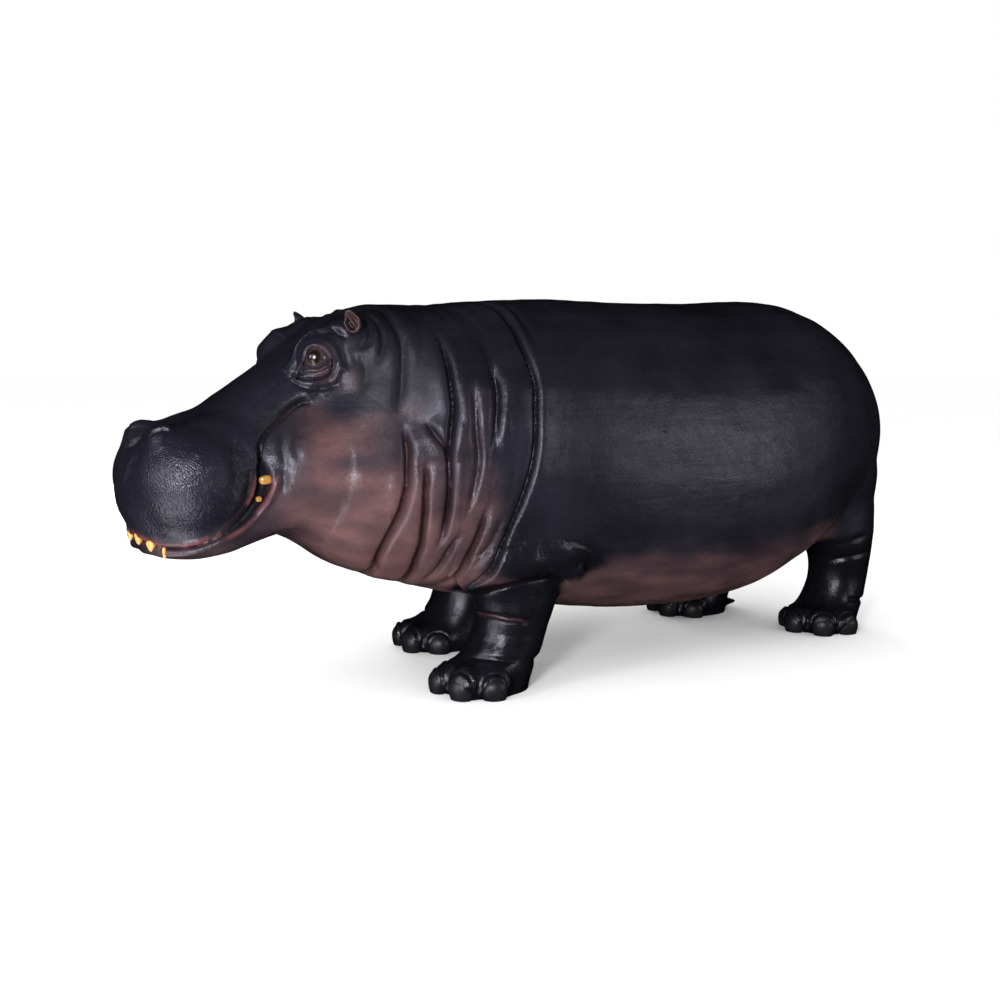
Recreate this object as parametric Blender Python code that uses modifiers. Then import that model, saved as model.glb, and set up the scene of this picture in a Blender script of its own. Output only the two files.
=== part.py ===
"""A life-size resin statue of a standing hippopotamus, as closed solids in metres.

The animal looks along -X, its left side is -Y and its soles stand on z = 0. The body is built
whole, as a sculptor builds clay: lofts and lumps are fused, smoothed and thinned to one mesh.
Thin cuts then part it into head, jaw, neck, trunk and legs. Ears, eyes, teeth, tail and
toenails are solids of their own, each seated in the body with a hair's gap round it.
"""

import math

import bmesh
import bpy
from mathutils import Euler, Matrix, Vector

# Driving dimensions, in metres.
GAP = 0.0004  # width of every cut between two parts
CLAY_VOXEL = 0.018
CLAY_SMOOTHING = 12
CLAY_FACES = 2200  # triangles that the fused body keeps
RING_POINTS = 28
FLOOR = 0.0
BELOW_FLOOR = -0.06  # the clay reaches down to here, and the floor plane cuts it flat

SIDES = {"left": -1, "right": 1}

# Sections of the trunk and neck, from front to back: x, top, bottom, half width,
# share of the height at which it is widest, and squareness (2 is an ellipse).
TRUNK = [
    (-1.00, 1.240, 0.600, 0.20, 0.50, 2.2),
    (-0.87, 1.318, 0.470, 0.31, 0.50, 2.3),
    (-0.75, 1.345, 0.380, 0.40, 0.49, 2.3),
    (-0.60, 1.342, 0.330, 0.455, 0.48, 2.3),
    (-0.45, 1.352, 0.290, 0.50, 0.47, 2.3),
    (-0.25, 1.365, 0.245, 0.54, 0.46, 2.3),
    (0.00, 1.370, 0.200, 0.57, 0.45, 2.35),
    (0.25, 1.362, 0.168, 0.585, 0.44, 2.35),
    (0.50, 1.358, 0.160, 0.59, 0.44, 2.35),
    (0.75, 1.366, 0.182, 0.583, 0.45, 2.35),
    (0.95, 1.372, 0.240, 0.560, 0.47, 2.3),
    (1.10, 1.350, 0.310, 0.522, 0.48, 2.25),
    (1.25, 1.290, 0.390, 0.467, 0.48, 2.15),
    (1.37, 1.205, 0.470, 0.402, 0.48, 2.1),
    (1.46, 1.110, 0.550, 0.325, 0.48, 2.05),
    (1.54, 0.990, 0.650, 0.22, 0.48, 2.0),
    (1.58, 0.910, 0.750, 0.11, 0.48, 2.0),
]
SNOUT = [
    (-0.88, 1.315, 0.80, 0.26, 0.50, 2.2),
    (-0.96, 1.275, 0.74, 0.25, 0.50, 2.2),
    (-1.05, 1.220, 0.70, 0.235, 0.50, 2.2),
    (-1.17, 1.145, 0.66, 0.205, 0.50, 2.2),
    (-1.30, 1.062, 0.62, 0.195, 0.50, 2.2),
    (-1.42, 0.980, 0.635, 0.205, 0.50, 2.3),
    (-1.50, 0.946, 0.630, 0.215, 0.50, 2.4),
    (-1.57, 0.905, 0.630, 0.20, 0.50, 2.2),
    (-1.62, 0.835, 0.640, 0.16, 0.50, 2.1),
    (-1.64, 0.780, 0.680, 0.09, 0.50, 2.0),
]
CHEEKS = [
    (-1.36, 0.780, 0.600, 0.16, 0.45, 2.2),
    (-1.30, 0.930, 0.590, 0.235, 0.45, 2.2),
    (-1.24, 0.995, 0.590, 0.280, 0.42, 2.3),
    (-1.16, 1.025, 0.580, 0.308, 0.42, 2.3),
    (-1.06, 1.080, 0.530, 0.325, 0.43, 2.2),
    (-0.96, 1.160, 0.460, 0.345, 0.44, 2.2),
    (-0.87, 1.240, 0.420, 0.365, 0.45, 2.2),
    (-0.76, 1.290, 0.380, 0.395, 0.48, 2.2),
]
LOWER_JAW = [
    (-0.85, 0.74, 0.480, 0.26, 0.50, 2.3),
    (-1.00, 0.74, 0.580, 0.27, 0.50, 2.3),
    (-1.15, 0.74, 0.590, 0.27, 0.45, 2.3),
    (-1.27, 0.73, 0.562, 0.265, 0.40, 2.4),
    (-1.36, 0.68, 0.538, 0.262, 0.40, 2.4),
    (-1.45, 0.65, 0.527, 0.245, 0.40, 2.4),
    (-1.52, 0.65, 0.528, 0.215, 0.40, 2.3),
    (-1.575, 0.65, 0.540, 0.160, 0.45, 2.2),
    (-1.610, 0.64, 0.565, 0.085, 0.50, 2.1),
]

# Sections of a leg, from the sole up: z, then x and y from the sole's middle (y outward),
# half length and half width.
FRONT_LEG = [
    (BELOW_FLOOR, 0.000, 0.000, 0.135, 0.130),
    (0.000, 0.000, 0.000, 0.145, 0.140),
    (0.060, 0.010, 0.000, 0.150, 0.142),
    (0.130, 0.055, 0.000, 0.138, 0.136),
    (0.210, 0.095, 0.000, 0.132, 0.132),
    (0.310, 0.115, 0.000, 0.150, 0.142),
    (0.430, 0.090, -0.010, 0.185, 0.145),
    (0.560, 0.060, -0.040, 0.200, 0.130),
    (0.680, 0.040, -0.080, 0.150, 0.090),
]
HIND_LEG = [
    (BELOW_FLOOR, 0.000, 0.000, 0.125, 0.125),
    (0.000, 0.000, 0.000, 0.135, 0.135),
    (0.060, 0.005, 0.000, 0.140, 0.138),
    (0.130, 0.050, 0.000, 0.126, 0.126),
    (0.220, 0.080, 0.000, 0.120, 0.120),
    (0.320, 0.075, 0.005, 0.135, 0.132),
    (0.440, 0.025, 0.010, 0.190, 0.150),
    (0.600, -0.040, -0.005, 0.250, 0.160),
    (0.760, -0.100, -0.050, 0.220, 0.130),
]
# Each leg's sections, the x and y of its sole's middle, its side, and how far it toes out.
LEGS = {
    "leg_front_left": (FRONT_LEG, -0.460, 0.285, "left", 10),
    "leg_front_right": (FRONT_LEG, -0.290, 0.320, "right", 8),
    "leg_hind_left": (HIND_LEG, 1.235, 0.250, "left", 25),
    "leg_hind_right": (HIND_LEG, 0.965, 0.270, "right", 10),
}
# The four toes of a foot: degrees outward from straight ahead, reach from the sole's middle
# to the toe's middle, and radius.
TOES = [
    (-58, 0.115, 0.050),
    (-20, 0.140, 0.056),
    (20, 0.140, 0.058),
    (58, 0.120, 0.054),
]
TOENAIL_RADII = (0.032, 0.037, 0.036)  # along the toe, across it, and up

# The mouth is a slit along the lip's edge, from the middle of the front round the right side
# to its corner and up the cheek: x, y, z, half height of the slit, and its depth.
MOUTH = [
    (-1.660, 0.000, 0.598, 0.011, 0.070),
    (-1.640, 0.110, 0.592, 0.011, 0.070),
    (-1.585, 0.205, 0.582, 0.010, 0.070),
    (-1.480, 0.275, 0.590, 0.009, 0.070),
    (-1.385, 0.300, 0.630, 0.009, 0.070),
    (-1.320, 0.300, 0.700, 0.013, 0.085),
    (-1.284, 0.285, 0.775, 0.018, 0.085),
    (-1.276, 0.275, 0.850, 0.013, 0.070),
    (-1.262, 0.265, 0.920, 0.008, 0.050),
    (-1.225, 0.262, 0.968, 0.006, 0.035),
    (-1.170, 0.265, 1.005, 0.005, 0.025),
    (-1.110, 0.270, 1.020, 0.004, 0.020),
]
# The jaw parts from the head inside that slit, and behind its corner along this outline (x, z).
JAW_OUTLINE = [
    (-1.750, 0.600), (-1.620, 0.589), (-1.530, 0.583), (-1.432, 0.607), (-1.351, 0.664),
    (-1.301, 0.738), (-1.284, 0.788), (-1.247, 0.742), (-1.205, 0.620), (-1.185, 0.450),
    (-1.750, 0.450),
]
# Teeth of the right side that show: place, radii, and turn in degrees.
TEETH = {
    "incisor_inner": ((-1.594, 0.075, 0.590), (0.016, 0.017, 0.030), (0, -12, -12)),
    "incisor_outer": ((-1.567, 0.145, 0.583), (0.016, 0.016, 0.028), (0, -12, -35)),
    "canine": ((-1.535, 0.187, 0.577), (0.010, 0.008, 0.025), (0, -12, -48)),
    "tusk": ((-1.282, 0.250, 0.790), (0.032, 0.014, 0.014), (0, -8, 12)),
    "cheek_tooth": ((-1.300, 0.250, 0.735), (0.022, 0.009, 0.009), (0, -8, 12)),
}

EYE_RADIUS = 0.040
EYE_CENTRE = (-1.058, 0.211, 1.160)
EAR_CENTRE = (-0.912, 0.204, 1.282)
EAR_RADII = (0.022, 0.034, 0.058)
EAR_TURN = (-42, -12, -22)
EAR_BOWL_RADII = (0.020, 0.025, 0.045)
EAR_BOWL_SHIFT = Vector((-0.018, 0.0, 0.012))

# The tail hangs against the rump: x, z, half width and half thickness.
TAIL = [
    (1.486, 0.975, 0.048, 0.045),
    (1.556, 0.965, 0.050, 0.045),
    (1.596, 0.915, 0.048, 0.038),
    (1.609, 0.845, 0.042, 0.030),
    (1.603, 0.765, 0.037, 0.024),
    (1.582, 0.690, 0.030, 0.018),
    (1.566, 0.640, 0.015, 0.010),
]
# Cutting planes lean: each holds the x at z = 0 and how far x moves for each metre up.
HEAD_BACK = (-0.840, 0.030)
NECK_BACK = (-0.720, 0.260)
LEG_TOP = 0.47
LEG_DOME = 0.07
LEG_MARGIN = 0.035  # how far outside the leg its dividing cut runs
SPUR = ((1.105, 0.235, 0.022), (0.095, 0.034, 0.022))  # the flat toe behind the right hind foot

SKIN_BLACK = (0.021, 0.021, 0.028, 1)
NAIL_GREY = (0.038, 0.036, 0.050, 1)
TOOTH_OCHRE = (0.70, 0.36, 0.08, 1)
EYE_AMBER = (0.12, 0.035, 0.010, 1)


# --- The scene ----------------------------------------------------------------------------------


def clear_scene():
    for found in list(bpy.data.objects):
        bpy.data.objects.remove(found)


def new_collection(name):
    made = bpy.data.collections.new(name)
    bpy.context.scene.collection.children.link(made)
    return made


clear_scene()
STATUE = new_collection("hippopotamus")
CUTTERS = new_collection("cutters")


def new_object(name, bm, collection):
    bmesh.ops.recalc_face_normals(bm, faces=bm.faces)
    mesh = bpy.data.meshes.new(name)
    bm.to_mesh(mesh)
    bm.free()
    made = bpy.data.objects.new(name, mesh)
    collection.objects.link(made)
    return made


def new_cutter(name, bm):
    made = new_object(name, bm, CUTTERS)
    made.display_type = "WIRE"
    made.hide_render = True
    return made


def cut(target, cutter, operation="DIFFERENCE"):
    modifier = target.modifiers.new(cutter.name, "BOOLEAN")
    modifier.operation = operation
    modifier.object = cutter


def settled(source, name, collection=STATUE):
    """A plain mesh object of what the source's modifiers give, in the source's place."""
    bpy.context.view_layer.update()
    evaluated = source.evaluated_get(bpy.context.evaluated_depsgraph_get())
    mesh = bpy.data.meshes.new_from_object(evaluated)
    mesh.name = name
    made = bpy.data.objects.new(name, mesh)
    collection.objects.link(made)
    bpy.data.objects.remove(source)
    return made


def copy_of(source, name):
    made = bpy.data.objects.new(name, source.data.copy())
    STATUE.objects.link(made)
    return made


# --- Lofts and lumps ----------------------------------------------------------------------------


def smooth_stations(stations, per_span=4):
    """The stations and those between them, on a Catmull-Rom curve through every value."""
    filled = []
    last = len(stations) - 1
    for i in range(last):
        before, start = stations[max(i - 1, 0)], stations[i]
        end, after = stations[i + 1], stations[min(i + 2, last)]
        for step in range(per_span):
            t = step / per_span
            weights = (
                (-t + 2 * t**2 - t**3) / 2,
                (2 - 5 * t**2 + 3 * t**3) / 2,
                (t + 4 * t**2 - 3 * t**3) / 2,
                (-(t**2) + t**3) / 2,
            )
            values = zip(before, start, end, after)
            filled.append([sum(w * v for w, v in zip(weights, column)) for column in values])
    filled.append(list(stations[last]))
    return filled


def ring(bm, centre, side, up, down, squareness=2.0, points=RING_POINTS):
    """One closed section: an ellipse, squarer as its squareness rises above 2."""
    made = bmesh.ops.create_circle(bm, segments=points, radius=1.0)["verts"]
    power = 2 / squareness
    for vert in made:
        across = math.copysign(abs(vert.co.x) ** power, vert.co.x)
        height = abs(vert.co.y) ** power
        vert.co = centre + side * across + (up if vert.co.y > 0 else down) * height
    return made


def loft(bm, rings):
    """Bridges the rings in turn and closes both ends."""
    loops = [{e for v in made for e in v.link_edges if e.other_vert(v) in made} for made in rings]
    for first, second in zip(loops, loops[1:]):
        bmesh.ops.bridge_loops(bm, edges=list(first | second))
    for end in (rings[0], rings[-1]):
        bmesh.ops.contextual_create(bm, geom=end)


def body_loft(bm, stations):
    rings = []
    for x, top, bottom, half_width, widest, squareness in smooth_stations(stations):
        middle = bottom + (top - bottom) * widest
        side = Vector((0, half_width, 0))
        up, down = Vector((0, 0, top - middle)), Vector((0, 0, bottom - middle))
        rings.append(ring(bm, Vector((x, 0, middle)), side, up, down, squareness))
    loft(bm, rings)


def leg_loft(bm, stations, x, y, side):
    rings = []
    for z, dx, dy, half_length, half_width in smooth_stations(stations):
        centre = Vector((x + dx, side * (y + dy), z))
        width = Vector((0, half_width, 0))
        rings.append(ring(bm, centre, Vector((half_length, 0, 0)), width, -width, 2.2))
    loft(bm, rings)


def turned(angles):
    return Euler([math.radians(a) for a in angles]).to_matrix()


def lump(bm, centre, radii, turn=(0, 0, 0), segments=24):
    """An ellipsoid of clay, turned by three angles in degrees."""
    place = Matrix.LocRotScale(Vector(centre), turned(turn), Vector(radii))
    bmesh.ops.create_uvsphere(bm, u_segments=segments, v_segments=segments // 2, radius=1.0, matrix=place)


def lump_pair(bm, centre, radii, turn=(0, 0, 0)):
    """The same lump on both sides of the body, given for the right side."""
    x, y, z = centre
    roll, pitch, yaw = turn
    for side in SIDES.values():
        lump(bm, (x, side * y, z), radii, (side * roll, pitch, side * yaw))


# --- The whole body, in clay --------------------------------------------------------------------


def toe_places():
    """Yields each toe: leg's name, number, middle, direction and radius."""
    for name, (_, x, y, side_name, toed_out) in LEGS.items():
        side = SIDES[side_name]
        for number, (spread, reach, radius) in enumerate(TOES):
            angle = math.radians(spread + toed_out)
            ahead = Vector((-math.cos(angle), side * math.sin(angle), 0))
            middle = Vector((x, side * y, radius * 0.8)) + ahead * reach
            yield name, number, middle, ahead, radius


def add_masses(bm):
    for stations in (TRUNK, SNOUT, CHEEKS, LOWER_JAW):
        body_loft(bm, stations)
    # Upper lips, the slope behind them, brows and nostrils.
    lump_pair(bm, (-1.45, 0.135, 0.78), (0.183, 0.17, 0.18), (0, 0, 8))
    lump_pair(bm, (-1.35, 0.11, 0.84), (0.17, 0.13, 0.15), (0, 25, 0))
    lump_pair(bm, (-1.03, 0.165, 1.17), (0.085, 0.082, 0.083))
    lump_pair(bm, (-0.91, 0.145, 1.20), (0.11, 0.095, 0.105))
    lump_pair(bm, (-1.53, 0.12, 0.90), (0.075, 0.055, 0.06))
    # Shoulders and haunches, which hang over the tops of the legs.
    lump_pair(bm, (-0.37, 0.29, 0.53), (0.25, 0.175, 0.16))
    lump_pair(bm, (1.16, 0.22, 0.66), (0.34, 0.22, 0.30), (0, 20, 0))
    for stations, x, y, side, _ in LEGS.values():
        leg_loft(bm, stations, x, y, SIDES[side])
    for _, _, middle, ahead, radius in toe_places():
        yaw = math.degrees(math.atan2(ahead.y, ahead.x))
        lump(bm, middle, (radius * 1.25, radius, radius * 0.95), (0, 0, yaw))
    lump(bm, *SPUR)


def mouth_ring(bm, station, side):
    """The slit's section: deep across the lip, thin up and down or along the cheek."""
    x, y, z, half_height, depth = station
    inward = Vector((min(0.0, x + 1.42) * -1.3, -side * y, 0)).normalized()
    return Vector((x, side * y, z)), inward * depth, half_height


def mouth_slit(bm):
    """A flat tube along the mouth, from one cheek round the front to the other."""
    right = smooth_stations(MOUTH, 2)
    path = [(station, -1) for station in reversed(right)] + [(station, 1) for station in right[1:]]
    sections = [mouth_ring(bm, station, side) for station, side in path]
    rings = []
    for i, (centre, inward, half_height) in enumerate(sections):
        before = sections[max(i - 1, 0)][0]
        after = sections[min(i + 1, len(sections) - 1)][0]
        thin = (after - before).cross(inward).normalized() * half_height
        rings.append(ring(bm, centre, inward, thin, -thin, 2.0, 8))
    loft(bm, rings)


def clay_object():
    """The fused and thinned body, flat under its soles, with the mouth's slit cut in."""
    bm = bmesh.new()
    add_masses(bm)
    clay = new_object("clay", bm, STATUE)
    fuse = clay.modifiers.new("fuse", "REMESH")
    fuse.mode = "VOXEL"
    fuse.voxel_size = CLAY_VOXEL
    smooth = clay.modifiers.new("smooth", "SMOOTH")
    smooth.factor = 0.5
    smooth.iterations = CLAY_SMOOTHING
    clay = settled(clay, "clay")
    thin = clay.modifiers.new("thin", "DECIMATE")
    thin.ratio = CLAY_FACES / (2 * len(clay.data.polygons))
    below = bmesh.new()
    bmesh.ops.create_cube(below, size=1.0, matrix=Matrix.LocRotScale((0, 0, FLOOR - 0.5), None, (5, 3, 1)))
    cut(clay, new_cutter("below_floor", below))
    slit = bmesh.new()
    mouth_slit(slit)
    cut(clay, new_cutter("mouth_slit", slit))
    return settled(clay, "clay")


# --- Parting the clay ---------------------------------------------------------------------------


def leaning_slab(name, front, back):
    """A block of everything between two leaning planes, each given as (x at z = 0, lean)."""
    bm = bmesh.new()
    bmesh.ops.create_cube(bm, size=2.0)
    for vert in bm.verts:
        z = 0.7 + vert.co.z * 1.0
        at_floor, lean = front if vert.co.x < 0 else back
        vert.co = (at_floor + lean * z, vert.co.y, z)
    return new_cutter(name, bm)


def jaw_block(name, grow):
    """The jaw's outline drawn right across the head."""
    bm = bmesh.new()
    corners = [Vector((x, -0.5, z)) for x, z in JAW_OUTLINE]
    outline = []
    for i, corner in enumerate(corners):
        along = corners[(i + 1) % len(corners)] - corners[i - 1]
        outward = Vector((-along.z, 0, along.x)).normalized()
        outline.append(bm.verts.new(corner + outward * grow))
    pushed = bmesh.ops.extrude_face_region(bm, geom=[bm.faces.new(outline)])["geom"]
    bmesh.ops.translate(bm, verts=[g for g in pushed if isinstance(g, bmesh.types.BMVert)], vec=(0, 1.0, 0))
    return new_cutter(name, bm)


def leg_block(name, leg, grow):
    """A domed column round one leg, a little outside it."""
    stations, x, y, side_name, _ = LEGS[leg]
    side = SIDES[side_name]
    margin = LEG_MARGIN + grow
    bm = bmesh.new()
    rings = []
    below = [station for station in smooth_stations(stations, 1) if station[0] < LEG_TOP - LEG_DOME]
    last = below[-1]
    for z, dx, dy, half_length, half_width in below:
        rings.append((z, dx, dy, half_length + margin, half_width + margin))
    for step in range(1, 5):
        rise = math.sin(step * math.pi / 10)
        shrink = math.cos(step * math.pi / 10)
        z = last[0] + (LEG_TOP + grow - last[0]) * rise
        rings.append((z, last[1], last[2], (last[3] + margin) * shrink, (last[4] + margin) * shrink))
    toes = 0.13
    made = []
    for z, dx, dy, half_length, half_width in rings:
        spread = toes * max(0.0, 1 - max(z, 0.0) / 0.20)
        centre = Vector((x + dx - spread / 3, side * (y + dy), z))
        width = Vector((0, half_width + spread, 0))
        made.append(ring(bm, centre, Vector((half_length + spread, 0, 0)), width, -width, 2.2, 12))
    loft(bm, made)
    return new_cutter(name, bm)


def part_clay(clay):
    """Cuts the clay into its named parts and returns them by name."""
    far = (-3.0, 0.0)
    head_back = (HEAD_BACK[0] - GAP, HEAD_BACK[1])
    neck_back = (NECK_BACK[0] - GAP, NECK_BACK[1])
    slabs = {
        "head": leaning_slab("head_slab", far, head_back),
        "neck": leaning_slab("neck_slab", HEAD_BACK, neck_back),
        "trunk": leaning_slab("trunk_slab", NECK_BACK, (3.0, 0.0)),
    }
    parts = {}
    for name, slab in slabs.items():
        parts[name] = copy_of(clay, name)
        cut(parts[name], slab, "INTERSECT")
    parts["jaw"] = copy_of(clay, "jaw")
    cut(parts["jaw"], jaw_block("jaw_block", 0.0), "INTERSECT")
    cut(parts["head"], jaw_block("jaw_block_wide", GAP * 2))
    for leg in LEGS:
        parts[leg] = copy_of(clay, leg)
        cut(parts[leg], leg_block(leg + "_block", leg, 0.0), "INTERSECT")
        wide = leg_block(leg + "_block_wide", leg, GAP * 2)
        cut(parts["trunk"], wide)
        if "front" in leg:
            cut(parts["neck"], wide)
    return parts


# --- Solids of their own, seated in the body ----------------------------------------------------


def toenails(parts):
    """A domed nail on the end of every toe, sunk halfway into it."""
    for leg, number, middle, ahead, radius in toe_places():
        yaw = math.degrees(math.atan2(ahead.y, ahead.x))
        place = middle + ahead * radius * 0.86 + Vector((0, 0, -0.008))
        name = f"nail_{leg[4:]}_{number + 1}"
        solid, seat_cutter = bmesh.new(), bmesh.new()
        wide = [r + GAP * 2 for r in TOENAIL_RADII]
        lump(solid, place, TOENAIL_RADII, (0, 0, yaw), 8)
        lump(seat_cutter, place, wide, (0, 0, yaw), 8)
        parts[name] = new_object(name, solid, STATUE)
        cut(parts[name], bpy.data.objects["below_floor"])
        cut(parts[leg], new_cutter(name + "_seat", seat_cutter))


def teeth(parts):
    seats = bmesh.new()
    for kind, (centre, radii, turn) in TEETH.items():
        for side_name, side in SIDES.items():
            name = f"{kind}_{side_name}"
            place = (centre[0], side * centre[1], centre[2])
            turned_to = (side * turn[0], turn[1], side * turn[2])
            solid = bmesh.new()
            lump(solid, place, radii, turned_to, 8)
            lump(seats, place, [r + GAP * 2 for r in radii], turned_to, 8)
            parts[name] = new_object(name, solid, STATUE)
    tooth_seats = new_cutter("tooth_seats", seats)
    cut(parts["jaw"], tooth_seats)
    cut(parts["head"], tooth_seats)


def eyes(parts):
    x, y, z = EYE_CENTRE
    for side_name, side in SIDES.items():
        name = f"eye_{side_name}"
        solid, seat_cutter = bmesh.new(), bmesh.new()
        lump(solid, (x, side * y, z), [EYE_RADIUS] * 3, segments=10)
        lump(seat_cutter, (x, side * y, z), [EYE_RADIUS + GAP * 2] * 3, segments=10)
        parts[name] = new_object(name, solid, STATUE)
        cut(parts["head"], new_cutter(name + "_socket", seat_cutter))


def ears(parts):
    """A small leaf of an ear, hollowed in front; its root sits in the head."""
    for side_name, side in SIDES.items():
        name = f"ear_{side_name}"
        centre = Vector((EAR_CENTRE[0], side * EAR_CENTRE[1], EAR_CENTRE[2]))
        turn = (side * EAR_TURN[0], EAR_TURN[1], side * EAR_TURN[2])
        shift = Vector((EAR_BOWL_SHIFT.x, side * EAR_BOWL_SHIFT.y, EAR_BOWL_SHIFT.z))
        solid, bowl, root = bmesh.new(), bmesh.new(), bmesh.new()
        lump(solid, centre, EAR_RADII, turn, 12)
        lump(bowl, centre + turned(turn) @ shift, EAR_BOWL_RADII, turn, 10)
        lump(root, centre, [r + GAP * 2 for r in EAR_RADII], turn, 12)
        parts[name] = new_object(name, solid, STATUE)
        cut(parts[name], new_cutter(name + "_bowl", bowl))
        cut(parts["head"], new_cutter(name + "_root", root))


def tail_loft(bm, grow):
    rings = []
    stations = smooth_stations(TAIL, 2)
    for i, (x, z, half_width, half_thickness) in enumerate(stations):
        before, after = stations[max(i - 1, 0)], stations[min(i + 1, len(stations) - 1)]
        along = Vector((after[0] - before[0], 0, after[1] - before[1])).normalized()
        outward = Vector((-along.z, 0, along.x)) * (half_thickness + grow)
        width = Vector((0, half_width + grow, 0))
        past_end = {0: -grow, len(stations) - 1: grow}.get(i, 0.0)
        centre = Vector((x, 0, z)) + along * past_end
        rings.append(ring(bm, centre, width, outward, -outward, 2.2, 10))
    loft(bm, rings)


def tail(parts):
    solid, seat_cutter = bmesh.new(), bmesh.new()
    tail_loft(solid, 0.0)
    tail_loft(seat_cutter, GAP * 2)
    parts["tail"] = new_object("tail", solid, STATUE)
    cut(parts["trunk"], new_cutter("tail_seat", seat_cutter))


# --- Materials ----------------------------------------------------------------------------------


def new_material(name, colour, roughness):
    made = bpy.data.materials.new(name)
    made.use_nodes = True
    shader = made.node_tree.nodes["Principled BSDF"]
    shader.inputs["Base Color"].default_value = colour
    shader.inputs["Roughness"].default_value = roughness
    return made


def paint(parts):
    hide = new_material("painted_resin", SKIN_BLACK, 0.45)
    nail = new_material("nail_paint", NAIL_GREY, 0.35)
    enamel = new_material("tooth_paint", TOOTH_OCHRE, 0.30)
    glass = new_material("eye_glass", EYE_AMBER, 0.05)
    for name, part in parts.items():
        if name.startswith("nail"):
            chosen = nail
        elif name.startswith("eye"):
            chosen = glass
        elif name.rsplit("_", 1)[0] in TEETH:
            chosen = enamel
        else:
            chosen = hide
        part.data.materials.clear()
        part.data.materials.append(chosen)


PARTS = part_clay(clay_object())
bpy.data.objects.remove(bpy.data.objects["clay"])
toenails(PARTS)
teeth(PARTS)
eyes(PARTS)
ears(PARTS)
tail(PARTS)
paint(PARTS)
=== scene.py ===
"""The finish of a life-size resin statue of a hippopotamus, cast, painted and lit in a studio.

The animal looks along -X with its left flank towards -Y, and stands on z = 0, in metres. One
painted skin covers head, jaw, neck, trunk and legs; eyes, ears, teeth, toenails and tail are
pieces of their own. Each section below makes one of them, from its form to its paint.
"""

import math

import bmesh
import bpy
from mathutils import Euler, Matrix, Vector, kdtree, noise


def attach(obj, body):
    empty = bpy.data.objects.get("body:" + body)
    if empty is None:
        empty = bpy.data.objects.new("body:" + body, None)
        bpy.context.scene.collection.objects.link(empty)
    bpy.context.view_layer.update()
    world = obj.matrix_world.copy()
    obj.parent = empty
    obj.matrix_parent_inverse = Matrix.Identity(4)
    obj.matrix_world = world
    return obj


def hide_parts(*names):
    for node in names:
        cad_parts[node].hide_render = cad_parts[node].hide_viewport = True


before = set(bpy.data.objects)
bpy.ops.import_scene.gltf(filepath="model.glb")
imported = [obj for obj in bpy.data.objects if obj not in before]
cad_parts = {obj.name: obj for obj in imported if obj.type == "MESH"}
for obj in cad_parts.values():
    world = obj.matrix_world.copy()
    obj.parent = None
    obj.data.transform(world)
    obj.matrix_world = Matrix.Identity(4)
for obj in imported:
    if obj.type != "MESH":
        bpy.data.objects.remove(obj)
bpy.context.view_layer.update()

# --- The cast body -------------------------------------------------------------------------------
# The whole body is one hollow casting in glass fibre and resin, taken from a clay original.
# It is built the same way: trunk, snout, cheeks, jaw and legs are lofted, lumps of clay are
# laid on them, and everything is fused and smoothed into one surface.

CLAY_GRAIN = 0.018
CLAY_SMOOTHING = 12
FINE_GRAIN = 0.006
BELOW_FLOOR = -0.06

# Upright sections along the body: x, top, bottom, half width, the share of the height at which it
# is widest, and squareness, where 2 is an ellipse.
TRUNK = [
    (-1.0, 1.24, 0.6, 0.2, 0.5, 2.2), (-0.87, 1.318, 0.47, 0.31, 0.5, 2.3),
    (-0.75, 1.345, 0.38, 0.4, 0.49, 2.3), (-0.6, 1.342, 0.33, 0.455, 0.48, 2.3),
    (-0.45, 1.352, 0.29, 0.5, 0.47, 2.3), (-0.25, 1.365, 0.245, 0.54, 0.46, 2.3),
    (0.0, 1.37, 0.2, 0.57, 0.45, 2.35), (0.25, 1.362, 0.168, 0.585, 0.44, 2.35),
    (0.5, 1.358, 0.16, 0.59, 0.44, 2.35), (0.75, 1.366, 0.182, 0.583, 0.45, 2.35),
    (0.95, 1.372, 0.24, 0.56, 0.47, 2.3), (1.1, 1.35, 0.31, 0.522, 0.48, 2.25),
    (1.25, 1.29, 0.39, 0.467, 0.48, 2.15), (1.37, 1.205, 0.47, 0.402, 0.48, 2.1),
    (1.46, 1.11, 0.55, 0.325, 0.48, 2.05), (1.54, 0.99, 0.65, 0.22, 0.48, 2.0),
    (1.58, 0.91, 0.75, 0.11, 0.48, 2.0),
]
SNOUT = [
    (-0.88, 1.315, 0.8, 0.26, 0.5, 2.2), (-0.96, 1.275, 0.74, 0.25, 0.5, 2.2),
    (-1.05, 1.22, 0.7, 0.235, 0.5, 2.2), (-1.17, 1.145, 0.66, 0.205, 0.5, 2.2),
    (-1.3, 1.062, 0.62, 0.195, 0.5, 2.2), (-1.42, 0.98, 0.635, 0.205, 0.5, 2.3),
    (-1.5, 0.946, 0.63, 0.215, 0.5, 2.4), (-1.57, 0.895, 0.63, 0.2, 0.5, 2.2),
    (-1.62, 0.835, 0.64, 0.16, 0.5, 2.1), (-1.64, 0.78, 0.68, 0.09, 0.5, 2.0),
]
CHEEKS = [
    (-1.36, 0.78, 0.6, 0.16, 0.45, 2.2), (-1.3, 0.93, 0.59, 0.235, 0.45, 2.2),
    (-1.24, 0.995, 0.59, 0.28, 0.42, 2.3), (-1.16, 1.025, 0.58, 0.308, 0.42, 2.3),
    (-1.06, 1.08, 0.53, 0.325, 0.43, 2.2), (-0.96, 1.16, 0.46, 0.345, 0.44, 2.2),
    (-0.87, 1.24, 0.42, 0.365, 0.45, 2.2), (-0.76, 1.29, 0.38, 0.395, 0.48, 2.2),
]
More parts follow.
